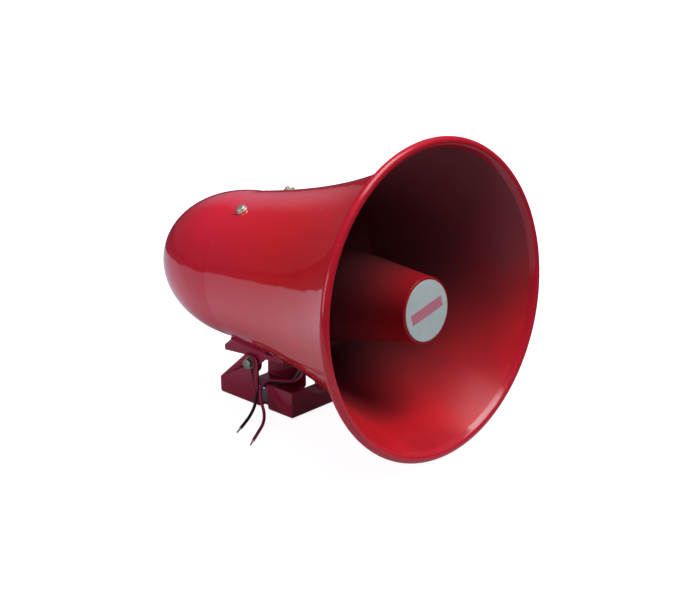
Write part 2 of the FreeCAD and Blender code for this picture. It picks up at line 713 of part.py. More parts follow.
washer_seat = flat_sag(size("collar_washer_radius"), -size("collar_screw_x"))
collar_washer = turned("collar_washer", [
    ("0", "screw_shank + hole_play"), ("0", "collar_washer_radius"),
    ("collar_washer_depth", "collar_washer_radius"),
    ("collar_washer_depth", "screw_shank + hole_play")])
collar_washers = group("collar_washers", collar_washer, lifted(collar_places, washer_seat), HORN)
collar_screw = screw("collar_screw", "screw_shank", "screw_head", "screw_head_depth",
                     "collar_screw_length")
collar_screws = group("collar_screws", collar_screw, lifted(
    collar_places, washer_seat + size("collar_washer_depth")), HORN)
saddle_screw = screw("saddle_screw", "screw_shank", "screw_head", "screw_head_depth",
                     "saddle_screw_length")
saddle_screws = group("saddle_screws", saddle_screw, lifted(saddle_places, flat_sag(
    size("screw_head"), -size("saddle_screw_rear"))), HORN)

nut_drop = (wall + size("spigot_gap") + size("dome_wall") + size("screw_nut_gap")
            + flat_sag(size("screw_nut_flats") / 2, -size("collar_screw_x")))
screw_nut = hex_nut("screw_nut", "screw_nut_flats", "screw_nut_depth", "screw_shank")
collar_nuts = group("collar_nuts", screw_nut, lifted(collar_places, -nut_drop), HORN)
saddle_nuts = group("saddle_nuts", screw_nut, lifted(
    saddle_places, -nut_drop - size("saddle_depth")), HORN)


# Saddle: a strap that follows the bell's taper, with two flanges that drop to round ears

def sector(edges, half_angle):
    """Solid of a half section swept each way from the bottom of the horn."""
    face = Part.Face(Part.Wire(Part.__sortEdges__(edges)))
    face = face.revolve(Vector(0, 0, 0), Vector(1, 0, 0), 2 * half_angle)
    return face.rotated(Vector(0, 0, 0), Vector(1, 0, 0), 180 - half_angle)


ear_outer = size("foot_wide") / 2 - size("foot_sheet") - size("saddle_play")
ear_inner = ear_outer - size("saddle_depth")


def make_saddle():
    inner_rear, inner_front = strap_ends(0)
    outer_rear, outer_front = strap_ends(size("saddle_depth"))
    corners = [inner_rear, outer_rear, outer_front, inner_front]
    edges = [line_between(a, b) for a, b in zip(corners, corners[1:] + corners[:1])]
    strap = sector(edges, size("saddle_half_angle"))
    strap = drilled(strap, saddle_places, screw_hole)
    behind = -size("flange_rear") - size("cut_past")
    ahead = off_flare(-size("flange_front") + size("cut_past"), wall + size("saddle_gap"))
    core_corners = [(behind, 0), (behind, inner_rear[1]), inner_rear, inner_front,
                    ahead, (ahead[0], 0)]
    core = turn_solid([line_between(a, b) for a, b
                       in zip(core_corners, core_corners[1:] + core_corners[:1])])
    depth = size("saddle_depth")
    radius = size("saddle_ear_radius")
    x, z = pivot_on_horn.x, pivot_on_horn.z
    top = -inner_rear[1] * math.cos(math.radians(size("saddle_half_angle")))
    edge = z + size("flange_lift")
    tip = edge + size("flange_tip")
    rear, front = x - radius, x - radius + size("saddle_ear_wide")
    flange_outline = [(-size("flange_rear"), tip), (-size("flange_rear"), edge),
                      (-size("flange_front"), edge), (-size("flange_front"), tip),
                      (-size("saddle_front"), top), (-size("saddle_rear"), top)]
    ear_outline = [(rear, top), (rear, z), (x + radius, z), (front, edge), (front, top)]
    ears = []
    for y in (ear_inner, -ear_outer):
        start = Vector(x, y, z)
        flange, ear = [
            Part.Face(Part.makePolygon([Vector(along, y, up) for along, up in line + line[:1]]))
            .extrude(Vector(0, depth, 0)) for line in (flange_outline, ear_outline)]
        rounded_end = Part.makeCylinder(radius, depth, start, Vector(0, 1, 0))
        bore = Part.makeCylinder(size("bolt_radius") + size("bolt_play"), depth,
                                 start, Vector(0, 1, 0))
        ears.append(ear.multiFuse([flange, rounded_end]).cut(core).cut(bore))
    return strap.multiFuse(ears).removeSplitter()


saddle = feature("saddle", make_saddle(), HORN)


# Foot: one folded sheet with a base, tall rear ears, low front walls and a front lip

foot = padded("foot", "YZ_Plane", [
    ("-foot_wide / 2", "0"), ("foot_wide / 2", "0"),
    ("foot_wide / 2", "pivot_height + foot_ear_over"),
    ("foot_wide / 2 - foot_sheet", "pivot_height + foot_ear_over"),
    ("foot_wide / 2 - foot_sheet", "foot_sheet"),
    ("-foot_wide / 2 + foot_sheet", "foot_sheet"),
    ("-foot_wide / 2 + foot_sheet", "pivot_height + foot_ear_over"),
    ("-foot_wide / 2", "pivot_height + foot_ear_over")],
    "foot_length", centred=True)


def add_pad(body, label, plane, corners, length, offset):
    sketch = sketch_on(body, plane, label + "_sketch", offset)
    draw_outline(sketch, corners)
    pad = body.newObject("PartDesign::Pad", label)
    pad.Profile = sketch
    pad.setExpression("Length", bound(length))
    doc.recompute()


add_pad(foot, "front_lip", "YZ_Plane", [
    ("-foot_wide / 2", "0"), ("foot_wide / 2", "0"),
    ("foot_wide / 2", "foot_wall_height"), ("-foot_wide / 2", "foot_wall_height")],
    "foot_sheet", "foot_length / 2 - foot_sheet")
above = "pivot_height + foot_ear_over + cut_past"
pocket(foot, "side_outline", "XZ_Plane", outlines=[
    [("-foot_length / 2 - cut_past", "foot_rear_height"), ("-foot_length / 2", "foot_rear_height"),
     ("pivot_x - foot_ear_rear", "pivot_height + foot_ear_over"),
     ("pivot_x - foot_ear_rear", above), ("-foot_length / 2 - cut_past", above)],
    [("pivot_x + foot_ear_half", "foot_wall_height"),
     ("foot_length / 2 + cut_past", "foot_wall_height"),
     ("foot_length / 2 + cut_past", above), ("pivot_x + foot_ear_half", above)]],
    holes=[("pivot_x", "pivot_height", "bolt_radius + bolt_play")])
rounded(foot, "foot_bends_outside", "foot_bend",
        lambda edge, middle: abs(middle.z) < 0.01 and edge.Length > size("foot_wide") - 1
        and (abs(abs(middle.y) - size("foot_wide") / 2) < 0.01
             or abs(middle.x - size("foot_length") / 2) < 0.01))
rounded(foot, "foot_bends_inside", "foot_bend - foot_sheet",
        lambda edge, middle: abs(middle.z - size("foot_sheet")) < 0.01
        and edge.Length > size("foot_wide") / 2 - 1
        and (abs(abs(middle.y) - size("foot_wide") / 2 + size("foot_sheet")) < 0.01
             or abs(middle.x - size("foot_length") / 2 + size("foot_sheet")) < 0.01))


def notch(side):
    inner = "%d * (foot_wide / 2 - notch_deep)" % side
    outer = "%d * (foot_wide / 2 + cut_past)" % side
    rear = "pivot_x + foot_ear_half"
    front = "pivot_x + foot_ear_half + notch_wide"
    return [(rear, inner), (front, inner), (front, outer), (rear, outer)]


pocket(foot, "cable_notches", "XY_Plane", outlines=[notch(-1), notch(1)])
slot_outlines = []
slot_circles = []
for side in (-1, 1):
    middle = "%d * slot_pitch / 2" % side
    near = middle + " - slot_long / 2 + slot_wide / 2"
    far = middle + " + slot_long / 2 - slot_wide / 2"
    slot_outlines.append([(near, "-slot_wide / 2"), (far, "-slot_wide / 2"),
                          (far, "slot_wide / 2"), (near, "slot_wide / 2")])
    slot_circles += [(near, "0", "slot_wide / 2"), (far, "0", "slot_wide / 2")]
pocket(foot, "slot_middles", "XY_Plane", outlines=slot_outlines)
pocket(foot, "slot_rear_ends", "XY_Plane", holes=slot_circles[0::2])
pocket(foot, "slot_front_ends", "XY_Plane", holes=slot_circles[1::2])
rounded(foot, "ear_rounds", "foot_ear_round",
        lambda edge, middle: abs(middle.z - size("pivot_height") - size("foot_ear_over")) < 0.01
        and abs(edge.Length - size("foot_sheet")) < 0.01)


# Pivot: bolt from the -Y side, washers, spring washer and nut

side_y = -size("foot_wide") / 2


def pivot_place(y, direction):
    return seat(Vector(pivot.x, y, pivot.z), Vector(0, direction, 0))


pivot_bolt = padded("pivot_bolt", "YZ_Plane", hex_corners("bolt_head_flats"), "bolt_head_depth")
shank_sketch = sketch_on(pivot_bolt, "YZ_Plane", "bolt_shank_sketch")
draw_circle(shank_sketch, "0", "0", "bolt_radius")
shank = pivot_bolt.newObject("PartDesign::Pad", "bolt_shank")
shank.Profile = shank_sketch
shank.Reversed = True
shank.setExpression("Length", bound("bolt_length"))
pivot_bolt.Placement = pivot_place(side_y - size("washer_depth"), -1)

flat_washer = turned("flat_washer", [
    ("0", "bolt_radius + bolt_play"), ("0", "washer_radius"),
    ("washer_depth", "washer_radius"), ("washer_depth", "bolt_radius + bolt_play")])
pivot_washers = group("pivot_washers", flat_washer,
                      [pivot_place(side_y, -1), pivot_place(-side_y, 1)], FOOT)
pivot_spring_washer = turned("pivot_spring_washer", [
    ("0", "bolt_radius + bolt_play"), ("0", "spring_washer_radius"),
    ("spring_washer_depth", "spring_washer_radius"),
    ("spring_washer_depth", "bolt_radius + bolt_play")])
pocket(pivot_spring_washer, "spring_washer_gap", "YZ_Plane", outlines=[[
    ("-spring_washer_cut / 2", "0"), ("spring_washer_cut / 2", "0"),
    ("spring_washer_cut / 2", "spring_washer_radius + cut_past"),
    ("-spring_washer_cut / 2", "spring_washer_radius + cut_past")]])
pivot_spring_washer.Placement = pivot_place(-side_y + size("washer_depth"), 1)
pivot_nut = hex_nut("pivot_nut", "bolt_head_flats", "nut_depth", "bolt_radius")
pivot_nut.Placement = pivot_place(-side_y + size("washer_depth") + size("spring_washer_depth")
                                  + size("nut_depth"), 1)


# Cable grommet: a rubber bush in the bell's underside with a bore for each wire

grommet_body = turned("grommet_body", [
    ("-bell_wall - grommet_lip", "0"), ("-bell_wall - grommet_lip", "grommet_radius"),
    ("-bell_wall", "grommet_radius"), ("-bell_wall", "grommet_neck"),
    ("0", "grommet_neck"), ("0", "grommet_radius"),
    ("grommet_lip - grommet_edge", "grommet_radius"),
    ("grommet_lip", "grommet_radius - grommet_edge"), ("grommet_lip", "0")])
grommet_seat = on_bell(-size("grommet_x"), 0)
wire_offsets = {"wire_black": -size("wire_pitch") / 2, "wire_red": size("wire_pitch") / 2}


def wire_seat(label, lift=0.0):
    """Seat of one wire's bore; the black wire's bore is the rear one."""
    lean_angle = flare_lean(-size("grommet_x"))
    along = Vector(math.cos(lean_angle), 0, -math.sin(lean_angle)) * wire_offsets[label]
    out = grommet_seat.Rotation.multVec(Vector(1, 0, 0))
    return Placement(grommet_seat.Base + along + out * lift, grommet_seat.Rotation)


def make_grommet():
    base = grommet_body.Shape.copy()
    base = base.transformed(grommet_seat.Matrix, True).cut(bell_raw)
    return drilled(base, [wire_seat(label) for label in wire_offsets], size("wire_radius"))


cable_grommet = feature("cable_grommet", make_grommet(), HORN)


# Wires: straight runs joined by tangent arcs, in the part's frame

BEND_SHARE = 0.45
FIRST_RUN = 8
ROUTES = {
    "wire_black": [(24, -6.5, 23.5), (15.5, -16, 20), (6.2, -25, 21.2), (7, -34, 14.8),
                   (11.5, -39.5, 8.5), (14, -46.5, 3.2), (19.3, -57.3, 1.6), (24.9, -68.4, 1.4)],
    "wire_red": [(28.2, -6.5, 23.5), (20.5, -15, 23.6), (10.5, -24, 25.3), (10.6, -33, 20),
                 (16, -38, 12.8), (23.5, -41, 5.6), (32, -50, 1.8), (40.5, -64, 1.4),
                 (49.1, -77.9, 1.4)],
}


def make_wire(label):
    """Tube along the route, with the point and direction of its far end."""
    lead = HORN.multiply(wire_seat(label, size("grommet_lip")))
    start = lead.Base
    out = lead.Rotation.multVec(Vector(1, 0, 0))
    points = [start, start + out * FIRST_RUN] + [Vector(*point) for point in ROUTES[label]]
    print(label, "leaves at", [round(value, 2) for value in start])
    edges = []
    length = 0
    last = points[0]
    for index in range(1, len(points) - 1):
        back = points[index - 1] - points[index]
        ahead = points[index + 1] - points[index]
        turn = math.pi - back.getAngle(ahead)
        cut = BEND_SHARE * min(back.Length, ahead.Length)
        radius = cut / math.tan(turn / 2)
        print("%s bend %d radius %.1f turn %.0f" % (label, index, radius, math.degrees(turn)))
        first = points[index] + back.normalize() * cut
        final = points[index] + ahead.normalize() * cut
        towards = (back + ahead).normalize()
        middle = points[index] + towards * (radius / math.cos(turn / 2) - radius)
        edges += [Part.LineSegment(last, first).toShape(), Part.Arc(first, middle, final).toShape()]
        length += (first - last).Length + radius * turn
        last = final
    edges.append(Part.LineSegment(last, points[-1]).toShape())
    length += (points[-1] - last).Length
    section = Part.Wire(Part.makeCircle(size("wire_radius"), points[0], out))
    tube = Part.Wire(edges).makePipeShell([section], True, False)
    expected = math.pi * size("wire_radius") ** 2 * length
    print("%s length %.1f volume %.1f of %.1f" % (label, length, tube.Volume, expected))
    return tube, points[-1], (points[-1] - points[-2]).normalize()


for wire in ROUTES:
    tube, end, heading = make_wire(wire)
    feature(wire, tube, Placement())
    strands = Part.makeCylinder(size("strand_radius"), size("strand_length"), end, heading)
    feature(wire + "_tip", strands, Placement())


# Every horn body made with features takes the horn's place

horn_bodies = [throat_tube, driver_flange, diaphragm, voice_coil, top_plate, magnet, yoke,
               circuit_board, transformer_core, winding, heat_sink, power_transistor, terminal_block]
for body in horn_bodies:
    body.Placement = HORN
for body in (reflector_cone, front_disc):
    body.Placement = CONE

NODES = ["bell", "rear_dome", "dome_seal", "reflector_cone", "front_disc", "throat_tube",
         "back_plate", "cone_posts", "cone_screws", "driver_flange", "diaphragm", "voice_coil",
         "top_plate", "magnet", "yoke", "driver_screws", "circuit_board", "board_posts",
         "board_screws", "transformer_core", "winding", "capacitors", "heat_sink",
         "power_transistor", "terminal_block", "collar_washers", "collar_screws", "collar_nuts",
         "saddle", "saddle_screws", "saddle_nuts", "foot", "pivot_bolt", "pivot_washers",
         "pivot_spring_washer", "pivot_nut", "cable_grommet", "wire_black", "wire_black_tip",
         "wire_red", "wire_red_tip"]

doc.recompute()
failed = [item.Label for item in doc.Objects
          if "Invalid" in item.State or "Error" in item.State]
if failed:
    raise RuntimeError("failed objects: " + ", ".join(failed))
for label in NODES:
    shape = doc.getObjectsByLabel(label)[0].Shape
    if shape.isNull() or not shape.isValid() or not shape.Solids:
        raise RuntimeError(label + " has no valid solid")

os.makedirs("parts", exist_ok=True)
for label in NODES:
    doc.getObjectsByLabel(label)[0].Shape.exportStep("parts/%s.step" % label)
print("wrote", len(NODES), "parts")
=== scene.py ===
import json
import math

import bmesh
import bpy
from mathutils import Matrix, Vector


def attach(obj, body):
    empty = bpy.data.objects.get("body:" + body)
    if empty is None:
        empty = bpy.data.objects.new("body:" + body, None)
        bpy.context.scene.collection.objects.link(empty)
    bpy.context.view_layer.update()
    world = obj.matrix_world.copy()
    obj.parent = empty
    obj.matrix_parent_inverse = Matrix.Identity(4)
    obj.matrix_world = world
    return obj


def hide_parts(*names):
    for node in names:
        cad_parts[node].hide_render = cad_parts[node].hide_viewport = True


# Red electronic horn siren on a tilting foot. Metres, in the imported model's frame.

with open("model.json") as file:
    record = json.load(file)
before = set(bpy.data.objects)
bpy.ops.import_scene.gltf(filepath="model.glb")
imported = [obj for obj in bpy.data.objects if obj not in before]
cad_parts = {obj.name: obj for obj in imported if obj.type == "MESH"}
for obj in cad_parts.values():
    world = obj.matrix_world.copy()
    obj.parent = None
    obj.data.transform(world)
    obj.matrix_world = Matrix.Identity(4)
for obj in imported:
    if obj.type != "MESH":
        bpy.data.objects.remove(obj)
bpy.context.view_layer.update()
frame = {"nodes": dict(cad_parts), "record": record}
nodes = frame["nodes"]
scene = bpy.context.scene
MM = 0.001


# The horn's own frame: X along its axis, mouth at 0, rear negative

REST_TILT = math.radians(5)
PIVOT = Vector((-6, 0, 36.5)) * MM
PIVOT_ON_HORN = Vector((-184, 0, -73.5)) * MM
LEAN = Matrix.Rotation(-REST_TILT, 4, "Y")
HORN = Matrix.Translation(PIVOT - LEAN @ PIVOT_ON_HORN) @ LEAN


# The bell's flare and the sheet pieces that follow it

FLARE_SMALL = 60.6 * MM
FLARE_LARGE = 117 * MM
FLARE_LENGTH = 194 * MM
FLARE_GROWTH = 1.67
BELL_REAR = -192 * MM
SHEET = 1.2 * MM
BEAD = 3.5 * MM
DOME_RADIUS = 61.1 * MM
DOME_STRAIGHT = 9 * MM
DOME_DEPTH = 88 * MM
SPIGOT_FRONT = -158 * MM
SPIGOT_GAP = 0.35 * MM
SPIGOT_SHOULDER = 1 * MM


def flare(x):
    """Radius of the bell's inner face at a place along its axis."""
    share = 1 + x / FLARE_LENGTH
    span = FLARE_LARGE - FLARE_SMALL
    return FLARE_SMALL + span * math.expm1(FLARE_GROWTH * share) / math.expm1(FLARE_GROWTH)


def flare_lean(x):
    """Angle between the bell's side and its axis there, in radians."""
    step = 0.01 * MM
    return math.atan((flare(x + step) - flare(x - step)) / (2 * step))


def off_flare(x, lift):
    """Point (x, radius) at a distance outward from the bell's inner face."""
    lean = flare_lean(x)
    return x - lift * math.sin(lean), flare(x) + lift * math.cos(lean)


def seat(point, direction):
    """Matrix that puts a piece made along X at a point, looking along a direction."""
    turn = Vector((1, 0, 0)).rotation_difference(Vector(direction))
    return Matrix.Translation(point) @ turn.to_matrix().to_4x4()


def on_bell(x, degrees, lift=0.0):
    """Seat on the bell's outer face; the angle runs from the bottom to -Y."""
    lean = flare_lean(x)
    turn = math.radians(degrees)
    out = Vector((0, -math.sin(turn), -math.cos(turn)))
    normal = out * math.cos(lean) - Vector((math.sin(lean), 0, 0))
    along, radius = off_flare(x, SHEET + lift)
    return seat(Vector((along, 0, 0)) + out * radius, normal)


def flat_sag(radius, x):
    """How far a flat ring of this radius stands off the bell's round."""
    return radius ** 2 / (2 * flare(x))


# Mesh helpers

ON_AXIS = 0.0001 * MM


def mesh_from(name, build):
    """Mesh that a function builds in a bmesh, with its faces turned outward."""
    mesh = bpy.data.meshes.new(name)
    work = bmesh.new()
    build(work)
    bmesh.ops.recalc_face_normals(work, faces=work.faces)
    work.to_mesh(mesh)
    work.free()
    return mesh


def place(name, data, material, body, where=Matrix.Identity(4), crease=40):
    """Adds a piece to the scene, smooth apart from edges sharper than the crease angle."""
    piece = bpy.data.objects.new(name, data)
    scene.collection.objects.link(piece)
    data.materials.append(material)
    piece.matrix_world = where
    if piece.type == "MESH":
        data.polygons.foreach_set("use_smooth", [True] * len(data.polygons))
        data.set_sharp_from_angle(angle=math.radians(crease))
    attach(piece, body)
    return piece


def polar(x, radius, angle):
    """Point on a ring about X; the angle runs from +Z towards +Y."""
    return Vector((x, radius * math.sin(angle), radius * math.cos(angle)))


def bridge(work, first, second):
    """Faces between two closed rings of vertices; a ring of one vertex is a point."""
    count = max(len(first), len(second))
    for number in range(count):
        following = (number + 1) % count
        corners = [first[number % len(first)], first[following % len(first)],
                   second[following % len(second)], second[number % len(second)]]
        work.faces.new(list(dict.fromkeys(corners)))


def lathe(name, profile, segments):
    """Mesh of a closed line of (x, radius) points turned about X."""
    def build(work):
        rings = []
        for x, radius in profile:
            count = 1 if radius < ON_AXIS else segments
            rings.append([work.verts.new(polar(x, radius, 2 * math.pi * number / segments))
                          for number in range(count)])
        for first, second in zip(rings, rings[1:] + rings[:1]):
            if len(first) > 1 or len(second) > 1:
                bridge(work, first, second)
    return mesh_from(name, build)


def spread(start, end, count):
    """Evenly spaced values from start to end, both of them included."""
    return [start + (end - start) * number / count for number in range(count + 1)]


def arc(centre, radius, start, end, count):
    """Points of an arc in the (x, radius) plane, angles in degrees from +x."""
    angles = [math.radians(degrees) for degrees in spread(start, end, count)]
    return [(centre[0] + radius * math.cos(angle), centre[1] + radius * math.sin(angle))
            for angle in angles]


# Materials

NO_STRETCH = (1, 1, 1)

# Noise is mostly between these two values, and the wave texture turns at this rate in radians

NOISE_LOW = 0.3
NOISE_HIGH = 0.7
WAVE_RATE = 20


class Nodes:
    """A node tree with short ways to add the nodes that finishes and the world share."""

    def __init__(self, tree):
        self.nodes = tree.nodes
        self.links = tree.links

    def maths(self, operation, first, second=0.0):
        """Output of one sum; either side may be an earlier output or a number."""
        node = self.nodes.new("ShaderNodeMath")
        node.operation = operation
        for socket, value in zip(node.inputs, (first, second)):
            if isinstance(value, (int, float)):
                socket.default_value = value
            else:
                self.links.new(value, socket)
        return node.outputs[0]

    def ranged(self, value, low, high, start=NOISE_LOW, end=NOISE_HIGH, smooth=False):
        """Output that goes from low to high while the value goes from start to end."""
        node = self.nodes.new("ShaderNodeMapRange")
        if smooth:
            node.interpolation_type = "SMOOTHSTEP"
        node.inputs["From Min"].default_value = start
        node.inputs["From Max"].default_value = end
        node.inputs["To Min"].default_value = low
        node.inputs["To Max"].default_value = high
        self.links.new(value, node.inputs["Value"])
        return node.outputs["Result"]

    def ray_kinds(self):
        """Two outputs: one is 1 for the camera's own rays, one for mirrored and bent rays."""
        rays = self.nodes.new("ShaderNodeLightPath").outputs
        mirrored = self.maths("MAXIMUM", rays["Is Glossy Ray"], rays["Is Transmission Ray"])
        return rays["Is Camera Ray"], mirrored


class Finish(Nodes):
    """A material with a principled shader and short ways to add procedural detail."""

    def __init__(self, name, colour, roughness, metallic=0.0, **sockets):
        self.material = bpy.data.materials.new(name)
        self.material.use_nodes = True
        super().__init__(self.material.node_tree)
        self.shader = self.nodes["Principled BSDF"]
        self.position = self.nodes.new("ShaderNodeTexCoord").outputs["Object"]
        self.normal = None
        self.set("Base Color", (*colour, 1))
        self.set("Roughness", roughness)
        self.set("Metallic", metallic)
        for socket, value in sockets.items():
            self.set(socket.replace("_", " "), value)

    def set(self, socket, value):
        self.shader.inputs[socket].default_value = value

    def noise(self, scale, detail, stretch=NO_STRETCH):
        """Noise output whose features are about 1 / scale metres."""
        source = self.position
        if stretch != NO_STRETCH:
            mapping = self.nodes.new("ShaderNodeMapping")
            mapping.inputs["Scale"].default_value = stretch
            self.links.new(self.position, mapping.inputs["Vector"])
            source = mapping.outputs["Vector"]
        texture = self.nodes.new("ShaderNodeTexNoise")
        texture.inputs["Scale"].default_value = scale
        texture.inputs["Detail"].default_value = detail
        self.links.new(source, texture.inputs["Vector"])
        return texture.outputs["Fac"]

    def bands(self, period, distortion):
        """Wave output with this period along X, in metres."""
        texture = self.nodes.new("ShaderNodeTexWave")
        texture.bands_direction = "X"
        texture.inputs["Scale"].default_value = 2 * math.pi / (WAVE_RATE * period)
        texture.inputs["Distortion"].default_value = distortion
        self.links.new(self.position, texture.inputs["Vector"])
        return texture.outputs["Fac"]

    def along(self, axis):
        """Place along one of the object's own axes, in metres."""
        split = self.nodes.new("ShaderNodeSeparateXYZ")
        self.links.new(self.position, split.inputs["Vector"])
        return split.outputs[axis]

    def vary_roughness(self, value, low, high):
        self.links.new(self.ranged(value, low, high), self.shader.inputs["Roughness"])

    def blend_colours(self, value, first, second, start=NOISE_LOW, end=NOISE_HIGH):
        """Colour output between two colours; a colour may be an earlier output."""
        node = self.nodes.new("ShaderNodeMix")
        node.data_type = "RGBA"
        self.links.new(self.ranged(value, 0, 1, start, end), node.inputs["Factor"])
        for socket, colour in zip(("A", "B"), (first, second)):
            target = [item for item in node.inputs
                      if item.name == socket and item.type == "RGBA"][0]
            if isinstance(colour, tuple):
                target.default_value = (*colour, 1)
            else:
                self.links.new(colour, target)
        return [item for item in node.outputs if item.type == "RGBA"][0]

    def colour_from(self, output):
        self.links.new(output, self.shader.inputs["Base Color"])

    def relief(self, value, height):
        """Adds fine relief of this height, in metres, to the relief so far."""
        bump = self.nodes.new("ShaderNodeBump")
        bump.inputs["Distance"].default_value = height
        self.links.new(value, bump.inputs["Height"])
        if self.normal is not None:
            self.links.new(self.normal, bump.inputs["Normal"])
        self.normal = bump.outputs["Normal"]

    def done(self):
        """The material, with its relief on the base and on the coat where it has one."""
        self.links.new(self.normal, self.shader.inputs["Normal"])
        if self.shader.inputs["Coat Weight"].default_value:
            self.links.new(self.normal, self.shader.inputs["Coat Normal"])
        return self.material


PAINT_ROUGHNESS = 0.45
PAINT_SPREAD = 0.05
PAINT_GLEAM = 0.02
COAT_IOR = 1.5
WAVINESS = 0.22 * MM
PEEL_HEIGHT = 0.001 * MM
RING_PERIOD = 9 * MM
RING_HEIGHT = 0.008 * MM
RING_WANDER = 0.4


def enamel(name, colour, shade, waviness=WAVINESS, coat=1.0, coat_roughness=0.03, rings=False,
           painted_light_colour=None, reach=None, painted_light_slant=0.0):
    """Baked paint under a clear coat: a slow waviness, orange peel and slightly uneven colour.

    With a second colour given, the paint passes from it to its own along X, between the two
    places
    of reach. That colour is painted light: painted shade far in the bell and at the cone's rear,
    and a painted cool tint of light at the body's rear. Tilting the passage makes it come later
    at the top, where the painted shade inside then reaches further forward.
    """
    finish = Finish(name, colour, PAINT_ROUGHNESS, Coat_Weight=coat,
                    Coat_Roughness=coat_roughness, Coat_IOR=COAT_IOR,
                    Specular_IOR_Level=PAINT_GLEAM)
    paint = finish.blend_colours(finish.noise(scale=22, detail=3), colour, shade)
    # Painted light laid along X: painted shade inside the bell and on the cone, painted cool
    # light at the bell's rear
    if painted_light_colour:
        depth = finish.maths("SUBTRACT", finish.along("X"), finish.maths(
            "MULTIPLY", finish.along("Z"), painted_light_slant))
        paint = finish.blend_colours(depth, painted_light_colour, paint, *reach)
    finish.colour_from(paint)
    finish.vary_roughness(finish.noise(scale=60, detail=3), PAINT_ROUGHNESS - PAINT_SPREAD,
                          PAINT_ROUGHNESS + PAINT_SPREAD)
    finish.relief(finish.noise(scale=70, detail=1), waviness)
    if rings:
        finish.relief(finish.bands(RING_PERIOD, RING_WANDER), RING_HEIGHT)
    finish.relief(finish.noise(scale=420, detail=1), PEEL_HEIGHT)
    return finish.done()


METAL_SMOOTHER = 0.75
METAL_ROUGHER = 1.3
GRAIN_HEIGHT = 0.006 * MM


def metal(name, colour, shade, roughness, grain, stretch=NO_STRETCH):
    """Plated or ground metal with fine grain and slight tarnish."""
    finish = Finish(name, colour, roughness, metallic=1.0)
    finish.colour_from(finish.blend_colours(finish.noise(scale=240, detail=4), colour, shade))
    finish.vary_roughness(finish.noise(scale=500, detail=3), roughness * METAL_SMOOTHER,
                          roughness * METAL_ROUGHER)
    finish.relief(finish.noise(grain, 2, stretch), GRAIN_HEIGHT)
    return finish.done()


MOULDED_SPREAD = 0.15
MOULDED_HEIGHT = 0.01 * MM


def moulded(name, colour, shade, roughness, grain=900):
    """Plastic or rubber with a fine moulded texture."""
    finish = Finish(name, colour, roughness)
    finish.colour_from(finish.blend_colours(finish.noise(scale=120, detail=3), colour, shade))
    finish.vary_roughness(finish.noise(scale=300, detail=2), roughness * (1 - MOULDED_SPREAD),
                          roughness * (1 + MOULDED_SPREAD))
    finish.relief(finish.noise(grain, 2), MOULDED_HEIGHT)
    return finish.done()


DISC_PALE = (0.46, 0.53, 0.49)
DISC_SHADE = (0.42, 0.49, 0.45)
DISC_ROUGHNESS = 0.42
DISC_SMOOTHEST = 0.36
DISC_ROUGHEST = 0.5
DISC_GRAIN_HEIGHT = 0.004 * MM
BAR_COLOUR = (0.50, 0.16, 0.21)
BAR_HALF = 17.5 * MM
BAR_TALL = 4 * MM
BAR_EDGE = 0.5 * MM
BAR_TURN = math.radians(12.5)


def disc_finish():
    """Satin plate with one plain painted bar, placed in the disc's own coordinates."""
    finish = Finish("disc_plate", DISC_PALE, DISC_ROUGHNESS)
    plate = finish.blend_colours(finish.noise(scale=90, detail=3), DISC_PALE, DISC_SHADE)
    y, z = finish.along("Y"), finish.along("Z")
    cosine, sine = math.cos(BAR_TURN), math.sin(BAR_TURN)
    across = finish.maths("ADD", finish.maths("MULTIPLY", y, cosine), finish.maths(
        "MULTIPLY", z, sine))
    up = finish.maths("SUBTRACT", finish.maths("MULTIPLY", z, cosine), finish.maths(
        "MULTIPLY", y, sine))
    inside = finish.maths("MINIMUM", *[
        finish.ranged(finish.maths("ABSOLUTE", distance), 1, 0, half, half + BAR_EDGE)
        for distance, half in ((across, BAR_HALF), (up, BAR_TALL))])
    finish.colour_from(finish.blend_colours(inside, plate, BAR_COLOUR, 0, 1))
    finish.vary_roughness(finish.noise(scale=160, detail=2), DISC_SMOOTHEST, DISC_ROUGHEST)
    finish.relief(finish.noise(scale=1300, detail=2), DISC_GRAIN_HEIGHT)
    return finish.done()


RED = (0.61, 0.012, 0.018)
RED_SHADE = (0.56, 0.011, 0.016)
# Cooler red: painted cool light that falls from behind on the dome and the bell's rear
RED_PAINTED_REAR_LIGHT = (0.59, 0.014, 0.034)
RED_PAINTED_REAR_LIGHT_TONE = (0.54, 0.013, 0.030)
# Darker red: painted shade over the inside of the bell
RED_INSIDE_PAINTED_SHADE = (0.38, 0.009, 0.016)
# Darker red: painted shade on the bell's rim and the sheet next to it
RED_LIP_PAINTED_SHADE = (0.47, 0.010, 0.022)
RED_LIP_PAINTED_SHADE_TONE = (0.43, 0.009, 0.020)
# Dark greyish red: painted shade far in the bell, on the cone's rear, the back plate and the
# cone's posts; its greyish cast is a painted dull sheen
RED_PAINTED_DEEP_SHADE = (0.16, 0.034, 0.038)
RED_PAINTED_DEEP_SHADE_TONE = (0.08, 0.008, 0.010)
# Darker red: painted shade on the reflector cone
RED_CONE_PAINTED_SHADE = (0.30, 0.006, 0.010)
# Darker red: painted shade on the bracket under the body
RED_BRACKET_PAINTED_SHADE = (0.28, 0.011, 0.038)
RED_BRACKET_PAINTED_SHADE_TONE = (0.23, 0.010, 0.032)

